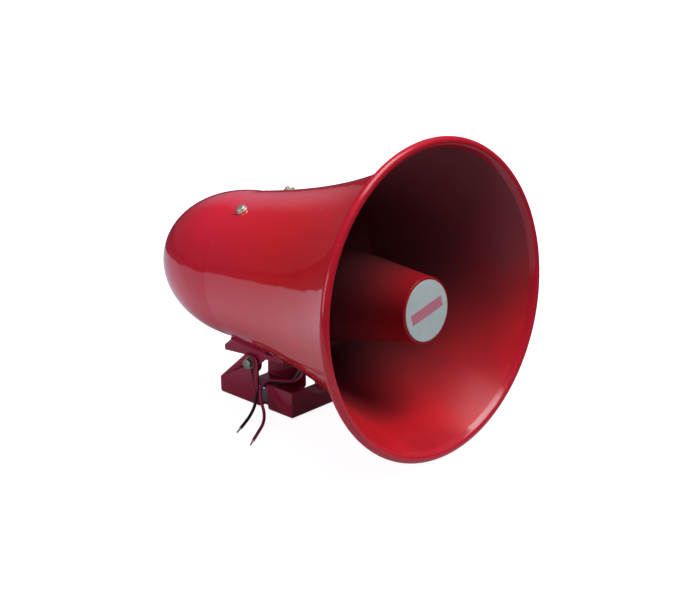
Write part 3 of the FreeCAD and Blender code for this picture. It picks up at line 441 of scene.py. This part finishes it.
# Red paints. The red_enamel and the bell's rear carry a cooler red, painted cool light from
# behind; the darker reds inside the bell, on its rim, the cone, the back plate, its posts and
# the bracket are painted shade.
ENAMELS = {
    "red_enamel": {"colour": RED_PAINTED_REAR_LIGHT, "shade": RED_PAINTED_REAR_LIGHT_TONE},
    "bell_enamel_painted_rear_light": {"colour": RED, "shade": RED_SHADE, "rings": True, "painted_light_colour": RED_PAINTED_REAR_LIGHT,
                    "reach": (-200 * MM, -110 * MM)},
    "inside_enamel_painted_shade": {"colour": RED_INSIDE_PAINTED_SHADE, "shade": RED_SHADE, "waviness": 0.1 * MM,
                      "coat": 0.3, "coat_roughness": 0.3, "painted_light_colour": RED_PAINTED_DEEP_SHADE,
                      "reach": (-73 * MM, 39 * MM), "painted_light_slant": 0.7},
    "lip_enamel_painted_shade": {"colour": RED_LIP_PAINTED_SHADE, "shade": RED_LIP_PAINTED_SHADE_TONE, "waviness": 0.2 * MM,
                   "coat": 0.6, "coat_roughness": 0.14},
    "cone_enamel_painted_shade": {"colour": RED_CONE_PAINTED_SHADE, "shade": RED_CONE_PAINTED_SHADE, "waviness": 0.1 * MM, "coat": 0.3,
                    "coat_roughness": 0.2, "painted_light_colour": RED_PAINTED_DEEP_SHADE, "reach": (-75 * MM, -12 * MM)},
    "throat_painted_shade_enamel": {"colour": RED_PAINTED_DEEP_SHADE, "shade": RED_PAINTED_DEEP_SHADE_TONE, "waviness": 0.1 * MM,
                      "coat": 0.1, "coat_roughness": 0.4},
    "bracket_enamel": {"colour": RED_BRACKET_PAINTED_SHADE, "shade": RED_BRACKET_PAINTED_SHADE_TONE,
                       "waviness": 0.05 * MM, "coat": 0.5, "coat_roughness": 0.12},
}

# Colour, shade, roughness and grain of each metal; the last value stretches the grain

METALS = {
    "zinc_steel": ((0.66, 0.66, 0.54), (0.5, 0.5, 0.42), 0.5, 900),
    "painted_bolt": ((0.30, 0.31, 0.25), (0.20, 0.21, 0.17), 0.48, 800),
    "plated_steel": ((0.55, 0.56, 0.55), (0.42, 0.43, 0.42), 0.4, 700),
    "cast_alloy": ((0.60, 0.61, 0.62), (0.5, 0.51, 0.52), 0.5, 500),
    "copper_wire": ((0.62, 0.25, 0.11), (0.5, 0.18, 0.08), 0.35, 1600, (6, 1, 1)),
    "core_steel": ((0.22, 0.22, 0.23), (0.14, 0.14, 0.15), 0.5, 2400, (12, 1, 1)),
    "sink_aluminium": ((0.20, 0.21, 0.22), (0.15, 0.16, 0.17), 0.45, 700),
    "tinned_copper": ((0.72, 0.73, 0.68), (0.58, 0.57, 0.50), 0.55, 1500),
}

# Colour, shade and roughness of each plastic or rubber; some have a grain of their own

PLASTICS = {
    "black_rubber": ((0.02, 0.02, 0.02), (0.03, 0.03, 0.03), 0.62),
    "tube_plastic": ((0.03, 0.03, 0.03), (0.045, 0.045, 0.045), 0.5),
    "phenolic_film": ((0.36, 0.20, 0.07), (0.28, 0.15, 0.05), 0.45),
    "ferrite": ((0.05, 0.05, 0.055), (0.08, 0.08, 0.085), 0.6),
    "board_laminate": ((0.02, 0.16, 0.05), (0.015, 0.12, 0.04), 0.4),
    "capacitor_sleeve": ((0.01, 0.02, 0.06), (0.01, 0.015, 0.04), 0.3),
    "chip_plastic": ((0.02, 0.02, 0.02), (0.03, 0.03, 0.03), 0.55),
    "terminal_plastic": ((0.03, 0.22, 0.07), (0.02, 0.17, 0.06), 0.4),
    "black_insulation": ((0.022, 0.014, 0.018), (0.03, 0.02, 0.024), 0.42, 500),
    "red_insulation": ((0.32, 0.025, 0.085), (0.27, 0.020, 0.07), 0.42, 500),
}

FINISHES = {"disc_plate": disc_finish()}
FINISHES.update({name: enamel(name, **values) for name, values in ENAMELS.items()})
FINISHES.update({name: metal(name, *values) for name, values in METALS.items()})
FINISHES.update({name: moulded(name, *values) for name, values in PLASTICS.items()})


# CAD nodes that stay: a finish from their slot, and small rounds on sheet edges

SHEET_PIECES = ("foot", "saddle")
SHEET_ROUND = 0.45 * MM
SHEET_CREASE = math.radians(40)
CAD_CREASE = math.radians(30)
WELD = 0.001 * MM
# The back plate and the cone's posts take a dark red instead of their slot's paint: painted
# shade far in the bell
PAINTED_SHADE_FINISH_OF = {"back_plate": "throat_painted_shade_enamel", "cone_posts": "throat_painted_shade_enamel"}


def dress(name, slot):
    """Gives a CAD node its finish, with small rounds or sharp creases at its edges."""
    piece = nodes[name]
    piece.data.materials.clear()
    piece.data.materials.append(FINISHES[PAINTED_SHADE_FINISH_OF.get(name, slot)])
    piece.data.polygons.foreach_set("use_smooth", [True] * len(piece.data.polygons))
    weld = piece.modifiers.new("weld", "WELD")
    weld.merge_threshold = WELD
    if name in SHEET_PIECES:
        bevel = piece.modifiers.new("edge_round", "BEVEL")
        bevel.width = SHEET_ROUND
        bevel.segments = 3
        bevel.limit_method = "ANGLE"
        bevel.angle_limit = SHEET_CREASE
        bevel.harden_normals = True
    else:
        split = piece.modifiers.new("creases", "EDGE_SPLIT")
        split.split_angle = CAD_CREASE


for entry in frame["record"]["subparts"]:
    dress(entry["node"], entry["material_slot"])


# Bell: spun sheet with a rolled bead at the mouth. Outside, its red passes to painted cool light
# at the rear. Its inside has its own finish, a darker red of painted shade that darkens further
# in and towards the top, and so has the rim with the first few millimetres of sheet next to it,
# in a darker red of painted shade.

BELL_STATIONS = 56
BEAD_STEPS = 26
TURN_STEPS = 288
LIP = 5.5 * MM
INSIDE_PAINTED_SHADE_SLOT = 1
LIP_PAINTED_SHADE_SLOT = 2


def bell_profile():
    """Outline of the bell: inner face, rolled bead, outer face and rear edge."""
    end_lean = flare_lean(0)
    tangent = Vector((math.cos(end_lean), math.sin(end_lean)))
    inward = Vector((math.sin(end_lean), -math.cos(end_lean)))
    touch_x = -BEAD * (1 - math.sin(end_lean))
    centre = Vector((touch_x, flare(touch_x))) - inward * BEAD
    sweep = 2 * math.pi - math.acos((BEAD - SHEET) / BEAD)
    bead = []
    for angle in spread(0, sweep, BEAD_STEPS):
        point = centre + (inward * math.cos(angle) + tangent * math.sin(angle)) * BEAD
        bead.append((point.x, point.y))
    stations = spread(BELL_REAR + SHEET / 4, touch_x, BELL_STATIONS)[:-1]
    inner = [(x, flare(x)) for x in stations]
    outer = [off_flare(x, SHEET) for x in stations]
    edge = [off_flare(BELL_REAR, SHEET * share) for share in (0.25, 0.75)]
    return inner + bead + outer[::-1] + edge[::-1]


bell = place("bell_shell", lathe("bell_shell", bell_profile(), TURN_STEPS),
             FINISHES["bell_enamel_painted_rear_light"], "horn", HORN)
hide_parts("bell")
bell.data.materials.append(FINISHES["inside_enamel_painted_shade"])
bell.data.materials.append(FINISHES["lip_enamel_painted_shade"])
for face in bell.data.polygons:
    if face.center.x > -LIP:
        face.material_index = LIP_PAINTED_SHADE_SLOT
    elif face.normal.yz.dot(face.center.yz) < 0:
        face.material_index = INSIDE_PAINTED_SHADE_SLOT


# Rear dome: half ellipse, short straight, and a spigot inside the bell

DOME_STEPS = 44
SPIGOT_STEPS = 6
DOME_CREASE = 25


def dome_line(inset):
    """One face of the dome, from its nose to the front of its spigot."""
    radius = DOME_RADIUS - inset
    depth = DOME_DEPTH - inset
    start = BELL_REAR - DOME_STRAIGHT
    gap = SPIGOT_GAP + inset
    line = []
    for degrees in spread(0, 90, DOME_STEPS):
        angle = math.radians(degrees)
        line.append((start - depth * math.cos(angle), radius * math.sin(angle)))
    line.append((BELL_REAR - SPIGOT_SHOULDER, radius))
    spigot = spread(BELL_REAR, SPIGOT_FRONT, SPIGOT_STEPS)
    return line + [(x, flare(x) - gap) for x in spigot]


dome_outline = dome_line(0) + dome_line(SHEET)[::-1]
# Its red_enamel is the cooler red all over: painted cool light from behind
dome = place("dome_shell", lathe("dome_shell", dome_outline, TURN_STEPS),
             FINISHES["red_enamel"], "horn", HORN, DOME_CREASE)
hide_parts("rear_dome")


# Reflector cone and its face plate

CONE_DROP = 9 * MM
CONE_FRONT = -14 * MM
CONE_REAR = -118 * MM
CONE_SMALL = 25.5 * MM
CONE_LARGE = 39 * MM
CONE_SHEET = 1.5 * MM
CONE_NOSE = 2.6 * MM
CONE_EDGE = 1.4 * MM
CONE_LIP = 46 * MM
CONE_LIP_DEPTH = 1.5 * MM
DISC_RADIUS = 23.5 * MM
DISC_DEPTH = 1.1 * MM
DISC_RECESS = 0.7 * MM
DISC_GAP = 0.2 * MM
DISC_EDGE = 0.3 * MM
CONE_TURN_STEPS = 192
CONE_EDGE_STEPS = 8
CONE_SIDE_STEPS = 12
DISC_TURN_STEPS = 128
DISC_EDGE_STEPS = 5
CONE = HORN @ Matrix.Translation((0, 0, -CONE_DROP))


def cone_profile():
    """Outline of the cone, from the disc's bed over its side and rear lip to its inside."""
    bed = CONE_FRONT - DISC_RECESS
    rim = DISC_RADIUS + DISC_GAP
    slope = (CONE_LARGE - CONE_SMALL) / (CONE_REAR + CONE_LIP_DEPTH - CONE_FRONT)
    side_lean = math.degrees(math.atan(-slope))
    centre = (CONE_FRONT - CONE_EDGE, CONE_SMALL + slope * -CONE_EDGE - CONE_EDGE)
    corner = arc(centre, CONE_EDGE, 0, 90 - side_lean, CONE_EDGE_STEPS)
    body = [(x, CONE_SMALL + slope * (x - CONE_FRONT))
            for x in spread(corner[-1][0], CONE_REAR + CONE_LIP_DEPTH, CONE_SIDE_STEPS)[1:]]
    nose = [(CONE_FRONT - CONE_NOSE, 0), (bed, 0), (bed, rim), (CONE_FRONT, rim)]
    lip = [(CONE_REAR + CONE_LIP_DEPTH, CONE_LIP), (CONE_REAR, CONE_LIP)]
    inside = [(CONE_REAR, CONE_LARGE - CONE_SHEET),
              (CONE_FRONT - CONE_NOSE, CONE_SMALL - CONE_SHEET)]
    return nose + corner + body + lip + inside


# Its red is darker, and darkest at the rear: painted shade
cone = place("cone_shell", lathe("cone_shell", cone_profile(), CONE_TURN_STEPS),
             FINISHES["cone_enamel_painted_shade"], "horn", CONE)
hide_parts("reflector_cone")

disc_front = CONE_FRONT - DISC_RECESS + DISC_DEPTH
disc_outline = [(disc_front - DISC_DEPTH, 0), (disc_front - DISC_DEPTH, DISC_RADIUS)]
disc_outline += arc((disc_front - DISC_EDGE, DISC_RADIUS - DISC_EDGE), DISC_EDGE, 90, 0,
                    DISC_EDGE_STEPS)
disc_outline += [(disc_front, 0)]
disc = place("disc_face", lathe("disc_face", disc_outline, DISC_TURN_STEPS),
             FINISHES["disc_plate"], "horn", CONE)
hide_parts("front_disc")


# Wires: the CAD route's points as the control points of one smooth spline

WIRE_RADIUS = 1.3 * MM
WIRE_PITCH = 3.8 * MM
GROMMET_X = -148 * MM
GROMMET_LIP = 1.8 * MM
FIRST_RUN = 8 * MM
STRAND_REACH = 9 * MM
STRAND_RADIUS = 0.25 * MM
STRANDS_AROUND = 6
STRAND_STEPS = 14
STRAND_TWIST = math.radians(230)
STRAND_UNEVEN = 0.03

# Each wire: its exit beside the grommet's middle, as a share of the pitch, and its route in
# millimetres

ROUTES = {
    "wire_black": (-0.5, [(24, -6.5, 23.5), (15.5, -16, 20), (6.2, -25, 21.2), (7, -34, 14.8),
                          (11.5, -39.5, 8.5), (14, -46.5, 3.2), (19.3, -57.3, 1.6),
                          (24.9, -68.4, 1.4)]),
    "wire_red": (0.5, [(28.2, -6.5, 23.5), (20.5, -15, 23.6), (10.5, -24, 25.3),
                       (10.6, -33, 20), (16, -38, 12.8), (23.5, -41, 5.6), (32, -50, 1.8),
                       (40.5, -64, 1.4), (49.1, -77.9, 1.4)]),
}
WIRE_FINISH = {"wire_black": "black_insulation", "wire_red": "red_insulation"}


def wire_exit(pitch_share):
    """Exit point and direction of a wire, in the part's frame."""
    lean = flare_lean(GROMMET_X)
    bush = on_bell(GROMMET_X, 0)
    along = Vector((math.cos(lean), 0, -math.sin(lean))) * WIRE_PITCH * pitch_share
    out = bush.to_3x3() @ Vector((1, 0, 0))
    point = bush.translation + along + out * GROMMET_LIP
    return HORN @ point, (HORN.to_3x3() @ out).normalized()


def strands(name, start, heading):
    """Tinned strands with a slow twist around a straight one, the bare end of a wire."""
    data = bpy.data.curves.new(name, "CURVE")
    data.dimensions = "3D"
    data.bevel_depth = STRAND_RADIUS
    data.bevel_resolution = 3
    data.use_fill_caps = True
    data.resolution_u = 4
    side = heading.cross(Vector((0, 0, 1))).normalized()
    up = side.cross(heading).normalized()
    for number in range(STRANDS_AROUND + 1):
        away = 0 if number == STRANDS_AROUND else 2 * STRAND_RADIUS
        reach = STRAND_REACH * (1 - STRAND_UNEVEN * (number % 3))
        spline = data.splines.new("POLY")
        spline.points.add(STRAND_STEPS)
        for step in range(STRAND_STEPS + 1):
            share = step / STRAND_STEPS
            angle = 2 * math.pi * number / STRANDS_AROUND + STRAND_TWIST * share
            point = start + heading * (reach * share)
            point += (side * math.cos(angle) + up * math.sin(angle)) * away
            spline.points[step].co = (*point, 1)
    return data


def make_wire(label):
    """One wire and its bare end."""
    pitch_share, route = ROUTES[label]
    start, out = wire_exit(pitch_share)
    points = [start, start + out * FIRST_RUN] + [Vector(point) * MM for point in route]
    data = bpy.data.curves.new(label + "_lead", "CURVE")
    data.dimensions = "3D"
    spline = data.splines.new("NURBS")
    spline.points.add(len(points) - 1)
    for target, point in zip(spline.points, points):
        target.co = (*point, 1)
    spline.order_u = 3
    spline.use_endpoint_u = True
    spline.resolution_u = 16
    data.bevel_depth = WIRE_RADIUS
    data.bevel_resolution = 7
    data.use_fill_caps = True
    lead = place(label + "_lead", data, FINISHES[WIRE_FINISH[label]], "horn")
    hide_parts(label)
    heading = (points[-1] - points[-2]).normalized()
    bare = place(label + "_strands", strands(label + "_strands", points[-1], heading),
                 FINISHES["tinned_copper"], "horn")
    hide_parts(label + "_tip")


for label in ROUTES:
    make_wire(label)


# Screws, washers, bolt and nut

def cut_with(mesh, tool, operation):
    """Mesh of two meshes joined by a boolean operation."""
    base = bpy.data.objects.new("work_base", mesh)
    other = bpy.data.objects.new("work_tool", tool)
    for item in (base, other):
        scene.collection.objects.link(item)
    boolean = base.modifiers.new("boolean", "BOOLEAN")
    boolean.operation = operation
    boolean.object = other
    boolean.solver = "EXACT"
    bpy.context.view_layer.update()
    result = bpy.data.meshes.new_from_object(
        base.evaluated_get(bpy.context.evaluated_depsgraph_get()))
    for item in (base, other):
        bpy.data.objects.remove(item)
    return result


def box_into(work, low, high, taper):
    """A box along X whose near end is scaled by the taper."""
    corners = []
    for x, scale in ((low[0], taper), (high[0], 1.0)):
        for y, z in ((low[1], low[2]), (high[1], low[2]), (high[1], high[2]), (low[1], high[2])):
            corners.append(work.verts.new((x, y * scale, z * scale)))
    near, far = corners[:4], corners[4:]
    work.faces.new(near)
    work.faces.new(far)
    bridge(work, near, far)


SCREW_SHANK = 2 * MM
SCREW_LENGTH = 12 * MM
SCREW_POINT = 0.5 * MM
SCREW_POINT_DROP = 0.3 * MM
SCREW_HEAD = 3.9 * MM
SCREW_HEAD_DEPTH = 2.6 * MM
SCREW_HEAD_EDGE = 0.15 * MM
SIDE_SHARE = 0.45
SIDE_POWER = 0.8
CROWN_POWER = 0.9
HEAD_STEPS = 10
SCREW_STEPS = 48
FASTENER_CREASE = 35
RECESS_ARM = 0.45 * MM
RECESS_REACH = 2.2 * MM
RECESS_DEPTH = 1.5 * MM
RECESS_TAPER = 0.55
CUT_SPARE = 1 * MM


def pan_head_profile(length):
    """Outline of a pan head screw with its seat at 0 and its shank towards -X."""
    side = SIDE_SHARE * SCREW_HEAD_DEPTH
    crown = []
    for degrees in spread(0, 90, HEAD_STEPS)[:-1]:
        angle = math.radians(degrees)
        crown.append((side + (SCREW_HEAD_DEPTH - side) * math.sin(angle) ** CROWN_POWER,
                      SCREW_HEAD * math.cos(angle) ** SIDE_POWER))
    crown.append((SCREW_HEAD_DEPTH, 0))
    under = [(0, SCREW_SHANK), (0, SCREW_HEAD - SCREW_HEAD_EDGE), (SCREW_HEAD_EDGE, SCREW_HEAD)]
    point = [(-length, 0), (-length, SCREW_SHANK - SCREW_POINT_DROP),
             (SCREW_POINT - length, SCREW_SHANK)]
    return under + crown + point


def screw_mesh(name, length):
    """Pan head screw with a cross recess."""
    head = lathe(name, pan_head_profile(length), SCREW_STEPS)
    bottom = SCREW_HEAD_DEPTH - RECESS_DEPTH
    top = SCREW_HEAD_DEPTH + CUT_SPARE
    for half_y, half_z in ((RECESS_REACH, RECESS_ARM), (RECESS_ARM, RECESS_REACH)):
        low, high = (bottom, -half_y, -half_z), (top, half_y, half_z)
        tool = mesh_from("recess", lambda work: box_into(work, low, high, RECESS_TAPER))
        head = cut_with(head, tool, "DIFFERENCE")
    return head


WASHER_EDGE = 0.2 * MM


def ring_profile(inner, outer, depth):
    """Outline of a washer with small chamfers on its outer corners."""
    return [(0, inner), (0, outer - WASHER_EDGE), (WASHER_EDGE, outer),
            (depth - WASHER_EDGE, outer), (depth, outer - WASHER_EDGE), (depth, inner)]


def copies(name, mesh, places, slot, body, node):
    """One piece made of several copies of a mesh, in place of the CAD node."""
    def build(work):
        for where in places:
            before = len(work.verts)
            work.from_mesh(mesh)
            work.verts.ensure_lookup_table()
            bmesh.ops.transform(work, matrix=where, verts=work.verts[before:])
    piece = place(name, mesh_from(name, build), FINISHES[slot], body,
                  crease=FASTENER_CREASE)
    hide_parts(node)


COLLAR_X = -174 * MM
COLLAR_ANGLE = 24.5
COLLAR_TURN = 5
COLLAR_WASHER = 4.8 * MM
COLLAR_WASHER_DEPTH = 0.8 * MM
WASHER_STEPS = 64
SCREW_PLAY = 0.15 * MM
SCREW_HOLE = SCREW_SHANK + SCREW_PLAY
collar_seats = [HORN @ on_bell(COLLAR_X, 180 - COLLAR_TURN + side * COLLAR_ANGLE)
                for side in (-1, 1)]
washer_lift = flat_sag(COLLAR_WASHER, COLLAR_X)


def lifted(seats, distance):
    """The same seats, moved outward."""
    return [where @ Matrix.Translation((distance, 0, 0)) for where in seats]


copies("collar_screw_heads", screw_mesh("collar_screw", SCREW_LENGTH),
       lifted(collar_seats, washer_lift + COLLAR_WASHER_DEPTH), "zinc_steel", "horn",
       "collar_screws")
copies("collar_washer_rings", lathe("collar_washer", ring_profile(
    SCREW_HOLE, COLLAR_WASHER, COLLAR_WASHER_DEPTH), WASHER_STEPS),
       lifted(collar_seats, washer_lift), "zinc_steel", "horn", "collar_washers")


# Pivot: hex bolt from the near side, washers, split spring washer and nut

FOOT_SIDE = 28 * MM
BOLT_RADIUS = 2.5 * MM
BOLT_PLAY = 0.05 * MM
PIVOT_WASHER_STEPS = 72
HEX_SIDES = 6
HEX_FLATS = 8 * MM
HEX_DROP = 0.35 * MM
HEX_LAND = HEX_FLATS / 2 * 0.96
HEX_CREASE = 30
CHAMFER_STEPS = 96
BORE_STEPS = 48
BOLT_HEAD = 3.5 * MM
BOLT_LENGTH = 68 * MM
WASHER_RADIUS = 5.2 * MM
WASHER_DEPTH = 1 * MM
SPRING_RADIUS = 4.3 * MM
SPRING_DEPTH = 1.2 * MM
NUT_DEPTH = 4.4 * MM
THREAD_PITCH = 0.8 * MM
THREAD_LENGTH = 16 * MM
THREAD_DEPTH = 0.6 * THREAD_PITCH
GROOVE_SHARE = 0.8
THREAD_END_FADE = 0.3
THREAD_STEPS_AROUND = 40
THREAD_STEPS_ALONG = 8


def hex_mesh(name, depth, both_ends, bore=0.0):
    """Hexagon along X with round chamfers, as on a bolt head or a nut."""
    corner = HEX_FLATS / math.sqrt(3)
    prism = lathe(name, [(0, 0), (0, corner), (depth, corner), (depth, 0)], HEX_SIDES)
    near = [(0, 0), (0, HEX_LAND), (HEX_DROP, corner)] if both_ends else [(0, 0), (0, corner)]
    far = [(depth - HEX_DROP, corner), (depth, HEX_LAND), (depth, 0)]
    chamfer = lathe("chamfer", near + far, CHAMFER_STEPS)
    result = cut_with(prism, chamfer, "INTERSECT")
    if bore:
        end = depth + CUT_SPARE
        drill = lathe("drill", [(-CUT_SPARE, 0), (-CUT_SPARE, bore), (end, bore), (end, 0)],
                      BORE_STEPS)
        result = cut_with(result, drill, "DIFFERENCE")
    return result


def threaded(work, length, thread_from):
    """The bolt's rod along X with a helical thread from one place to its end."""
    rows = int(round(length / THREAD_PITCH * THREAD_STEPS_ALONG))
    rings = []
    for row in range(rows + 1):
        x = length * row / rows
        starts = max(0.0, (x - thread_from) / THREAD_PITCH)
        ends = max(0.0, (length - x) / THREAD_PITCH + THREAD_END_FADE)
        fade = min(1.0, starts, ends)
        ring = []
        for number in range(THREAD_STEPS_AROUND):
            share = number / THREAD_STEPS_AROUND
            angle = 2 * math.pi * share
            phase = ((x - thread_from) / THREAD_PITCH - share) % 1.0
            groove = THREAD_DEPTH * max(0.0, 1 - abs(phase - 0.5) * 2 / GROOVE_SHARE)
            ring.append(work.verts.new(polar(x, BOLT_RADIUS - groove * fade, angle)))
        rings.append(ring)
    for first, second in zip(rings, rings[1:]):
        bridge(work, first, second)
    work.faces.new(rings[0])
    work.faces.new(rings[-1])


def pivot_seat(y, direction):
    """Seat on the pivot's line at this y, looking along +Y or -Y."""
    return seat(Vector((PIVOT.x, y, PIVOT.z)), (0, direction, 0))


def bolt_shape(work):
    """Hex head on one side of the seat and the rod on the other."""
    work.from_mesh(hex_mesh("bolt_head", BOLT_HEAD, both_ends=False))
    rod = bmesh.new()
    threaded(rod, BOLT_LENGTH, BOLT_LENGTH - THREAD_LENGTH)
    bmesh.ops.transform(rod, matrix=Matrix.Rotation(math.pi, 4, "Z"), verts=rod.verts)
    shank = bpy.data.meshes.new("shank")
    rod.to_mesh(shank)
    rod.free()
    work.from_mesh(shank)


bolt = place("bolt_hex", mesh_from("bolt_hex", bolt_shape), FINISHES["painted_bolt"], "foot",
             pivot_seat(-FOOT_SIDE - WASHER_DEPTH, -1), HEX_CREASE)
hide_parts("pivot_bolt")
flat_washer = lathe("flat_washer", ring_profile(
    BOLT_RADIUS + BOLT_PLAY, WASHER_RADIUS, WASHER_DEPTH), PIVOT_WASHER_STEPS)
copies("pivot_washer_rings", flat_washer, [pivot_seat(-FOOT_SIDE, -1), pivot_seat(FOOT_SIDE, 1)],
       "painted_bolt", "foot", "pivot_washers")
nut = place("nut_hex", hex_mesh("nut_hex", NUT_DEPTH, True, BOLT_RADIUS), FINISHES["zinc_steel"],
            "foot", pivot_seat(FOOT_SIDE + WASHER_DEPTH + SPRING_DEPTH, 1),
            HEX_CREASE)
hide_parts("pivot_nut")


SPRING_STEPS = 60
SPRING_SPLIT = math.radians(16)


def spring_shape(work):
    """Square-section ring with an open split."""
    inner = BOLT_RADIUS + BOLT_PLAY
    outline = ((0, inner), (0, SPRING_RADIUS), (SPRING_DEPTH, SPRING_RADIUS),
               (SPRING_DEPTH, inner))
    sections = []
    for angle in spread(SPRING_SPLIT / 2, 2 * math.pi - SPRING_SPLIT / 2, SPRING_STEPS):
        sections.append([work.verts.new(polar(x, radius, angle)) for x, radius in outline])
    for first, second in zip(sections, sections[1:]):
        bridge(work, first, second)
    work.faces.new(sections[0])
    work.faces.new(sections[-1])


spring = place("spring_ring", mesh_from("spring_ring", spring_shape), FINISHES["zinc_steel"],
               "foot", pivot_seat(FOOT_SIDE + WASHER_DEPTH, 1), HEX_CREASE)
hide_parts("pivot_spring_washer")


# Floor: white to the camera. A pool of light is painted on it and ends beside the object; past
# that end the paper's colour is painted dark, so it is dark in reflections and gives little
# light back.

FLOOR_SIZE = 9
POOL_CENTRE = (-0.10, -0.35)
POOL_END = 0.66
POOL_SOFT = 0.06
PAPER = (0.52, 0.55, 0.64)
PAPER_PAINTED_UNLIT = (0.06, 0.06, 0.07)
PAPER_RELIEF = 0.02 * MM
GLOW_TO_CAMERA = 0.90
GLOW_TO_GLOSS = 0.14
WHITE = (1, 1, 1, 1)


def floor_material():
    """Paper that glows to the camera everywhere, and in reflections inside the pool."""
    finish = Finish("floor_paper", PAPER, 1.0, Specular_IOR_Level=0.0, Emission_Color=WHITE)
    camera_ray, mirrored_ray = finish.ray_kinds()
    squares = [finish.maths("POWER", finish.maths("SUBTRACT", finish.along(axis), middle), 2)
               for axis, middle in zip("XY", POOL_CENTRE)]
    away = finish.maths("SQRT", finish.maths("ADD", *squares))
    # Painted pool of light: 1 inside, falling to 0 past its end
    pool = finish.ranged(away, 1, 0, POOL_END, POOL_END + POOL_SOFT)
    shown = finish.maths("MAXIMUM", camera_ray, pool)
    finish.colour_from(finish.blend_colours(shown, PAPER_PAINTED_UNLIT, PAPER, 0, 1))
    finish.relief(finish.noise(scale=300, detail=2), PAPER_RELIEF)
    mirrored = finish.maths("MULTIPLY", finish.maths(
        "MULTIPLY", mirrored_ray, GLOW_TO_GLOSS), pool)
    glow = finish.maths("ADD", mirrored, finish.maths("MULTIPLY", camera_ray, GLOW_TO_CAMERA))
    finish.links.new(glow, finish.shader.inputs["Emission Strength"])
    return finish.done()


floor_mesh = mesh_from("floor", lambda work: bmesh.ops.create_grid(
    work, x_segments=1, y_segments=1, size=FLOOR_SIZE))
floor_mesh.materials.append(floor_material())
floor = bpy.data.objects.new("floor", floor_mesh)
scene.collection.objects.link(floor)


# Lamps: place, watts, width and height of each

LAMP_AIM = Vector((0.03, 0, 0.12))
LAMPS = {
    "key_softbox": ((0.85, 0.35, 1.65), 21, 1.1, 0.9),
    "top_softbox": ((0.35, 0.1, 2.0), 20, 1.2, 1.0),
    "side_softbox": ((-0.25, -2.0, 0.6), 16, 1.3, 0.9),
}

for lamp_name, (lamp_place, watts, width, height) in LAMPS.items():
    lamp_data = bpy.data.lights.new(lamp_name, "AREA")
    lamp_data.shape = "RECTANGLE"
    lamp_data.size = width
    lamp_data.size_y = height
    lamp_data.energy = watts
    lamp = bpy.data.objects.new(lamp_name, lamp_data)
    scene.collection.objects.link(lamp)
    lamp.location = lamp_place
    lamp.rotation_euler = (LAMP_AIM - Vector(lamp_place)).to_track_quat("-Z", "Y").to_euler()


# World: a dim sky with two brighter patches. To the camera it is as white as the floor, and
# mirrors see a little of that white.

SKY_COLOUR = (0.86, 0.9, 1.2, 1)
WHITE_TO_GLOSS = 0.02

world = bpy.data.worlds.new("studio")
scene.world = world
world.use_nodes = True
sky = Nodes(world.node_tree)
sky_direction = sky.nodes.new("ShaderNodeTexCoord").outputs["Generated"]


def glow_towards(towards, start, end, low, high):
    """Strength that rises from low to high towards a fixed direction, between two cosines."""
    cosine = sky.nodes.new("ShaderNodeVectorMath")
    cosine.operation = "DOT_PRODUCT"
    cosine.inputs[1].default_value = Vector(towards).normalized()
    sky.links.new(sky_direction, cosine.inputs[0])
    return sky.ranged(cosine.outputs["Value"], low, high, start, end, smooth=True)


behind_glow = glow_towards((-0.6, 0.62, 0.42), 0.86, 0.98, 0.06, 0.38)
top_glow = glow_towards((0.4, 0.3, 1.0), 0.6, 0.98, 0.0, 0.5)
camera_white, mirrored_ray = sky.ray_kinds()
mirrored_white = sky.maths("MULTIPLY", mirrored_ray, WHITE_TO_GLOSS)
lit_sky = sky.nodes["Background"]
lit_sky.inputs["Color"].default_value = SKY_COLOUR
sky.links.new(sky.maths("ADD", behind_glow, top_glow), lit_sky.inputs["Strength"])
white_sky = sky.nodes.new("ShaderNodeBackground")
white_sky.inputs["Color"].default_value = WHITE
sky.links.new(sky.maths("MAXIMUM", camera_white, mirrored_white), white_sky.inputs["Strength"])
both_skies = sky.nodes.new("ShaderNodeAddShader")
sky.links.new(lit_sky.outputs[0], both_skies.inputs[0])
sky.links.new(white_sky.outputs[0], both_skies.inputs[1])
sky.links.new(both_skies.outputs[0], sky.nodes["World Output"].inputs["Surface"])


# Camera: the photo's view, with its place and the direction from the object back to it

CAMERA_PLACE = (0.93203, -0.90472, 0.55568)
CAMERA_BACK = (0.64480, -0.68401, 0.34111)
CAMERA_LENS = 87.43
CAMERA_SENSOR = 36

camera_data = bpy.data.cameras.new("camera")
camera_data.lens = CAMERA_LENS
camera_data.sensor_width = CAMERA_SENSOR
camera = bpy.data.objects.new("camera", camera_data)
scene.collection.objects.link(camera)
camera.location = CAMERA_PLACE
camera.rotation_euler = Vector(CAMERA_BACK).to_track_quat("Z", "Y").to_euler()
scene.camera = camera
scene.view_settings.view_transform = "Standard"

bpy.context.view_layer.update()
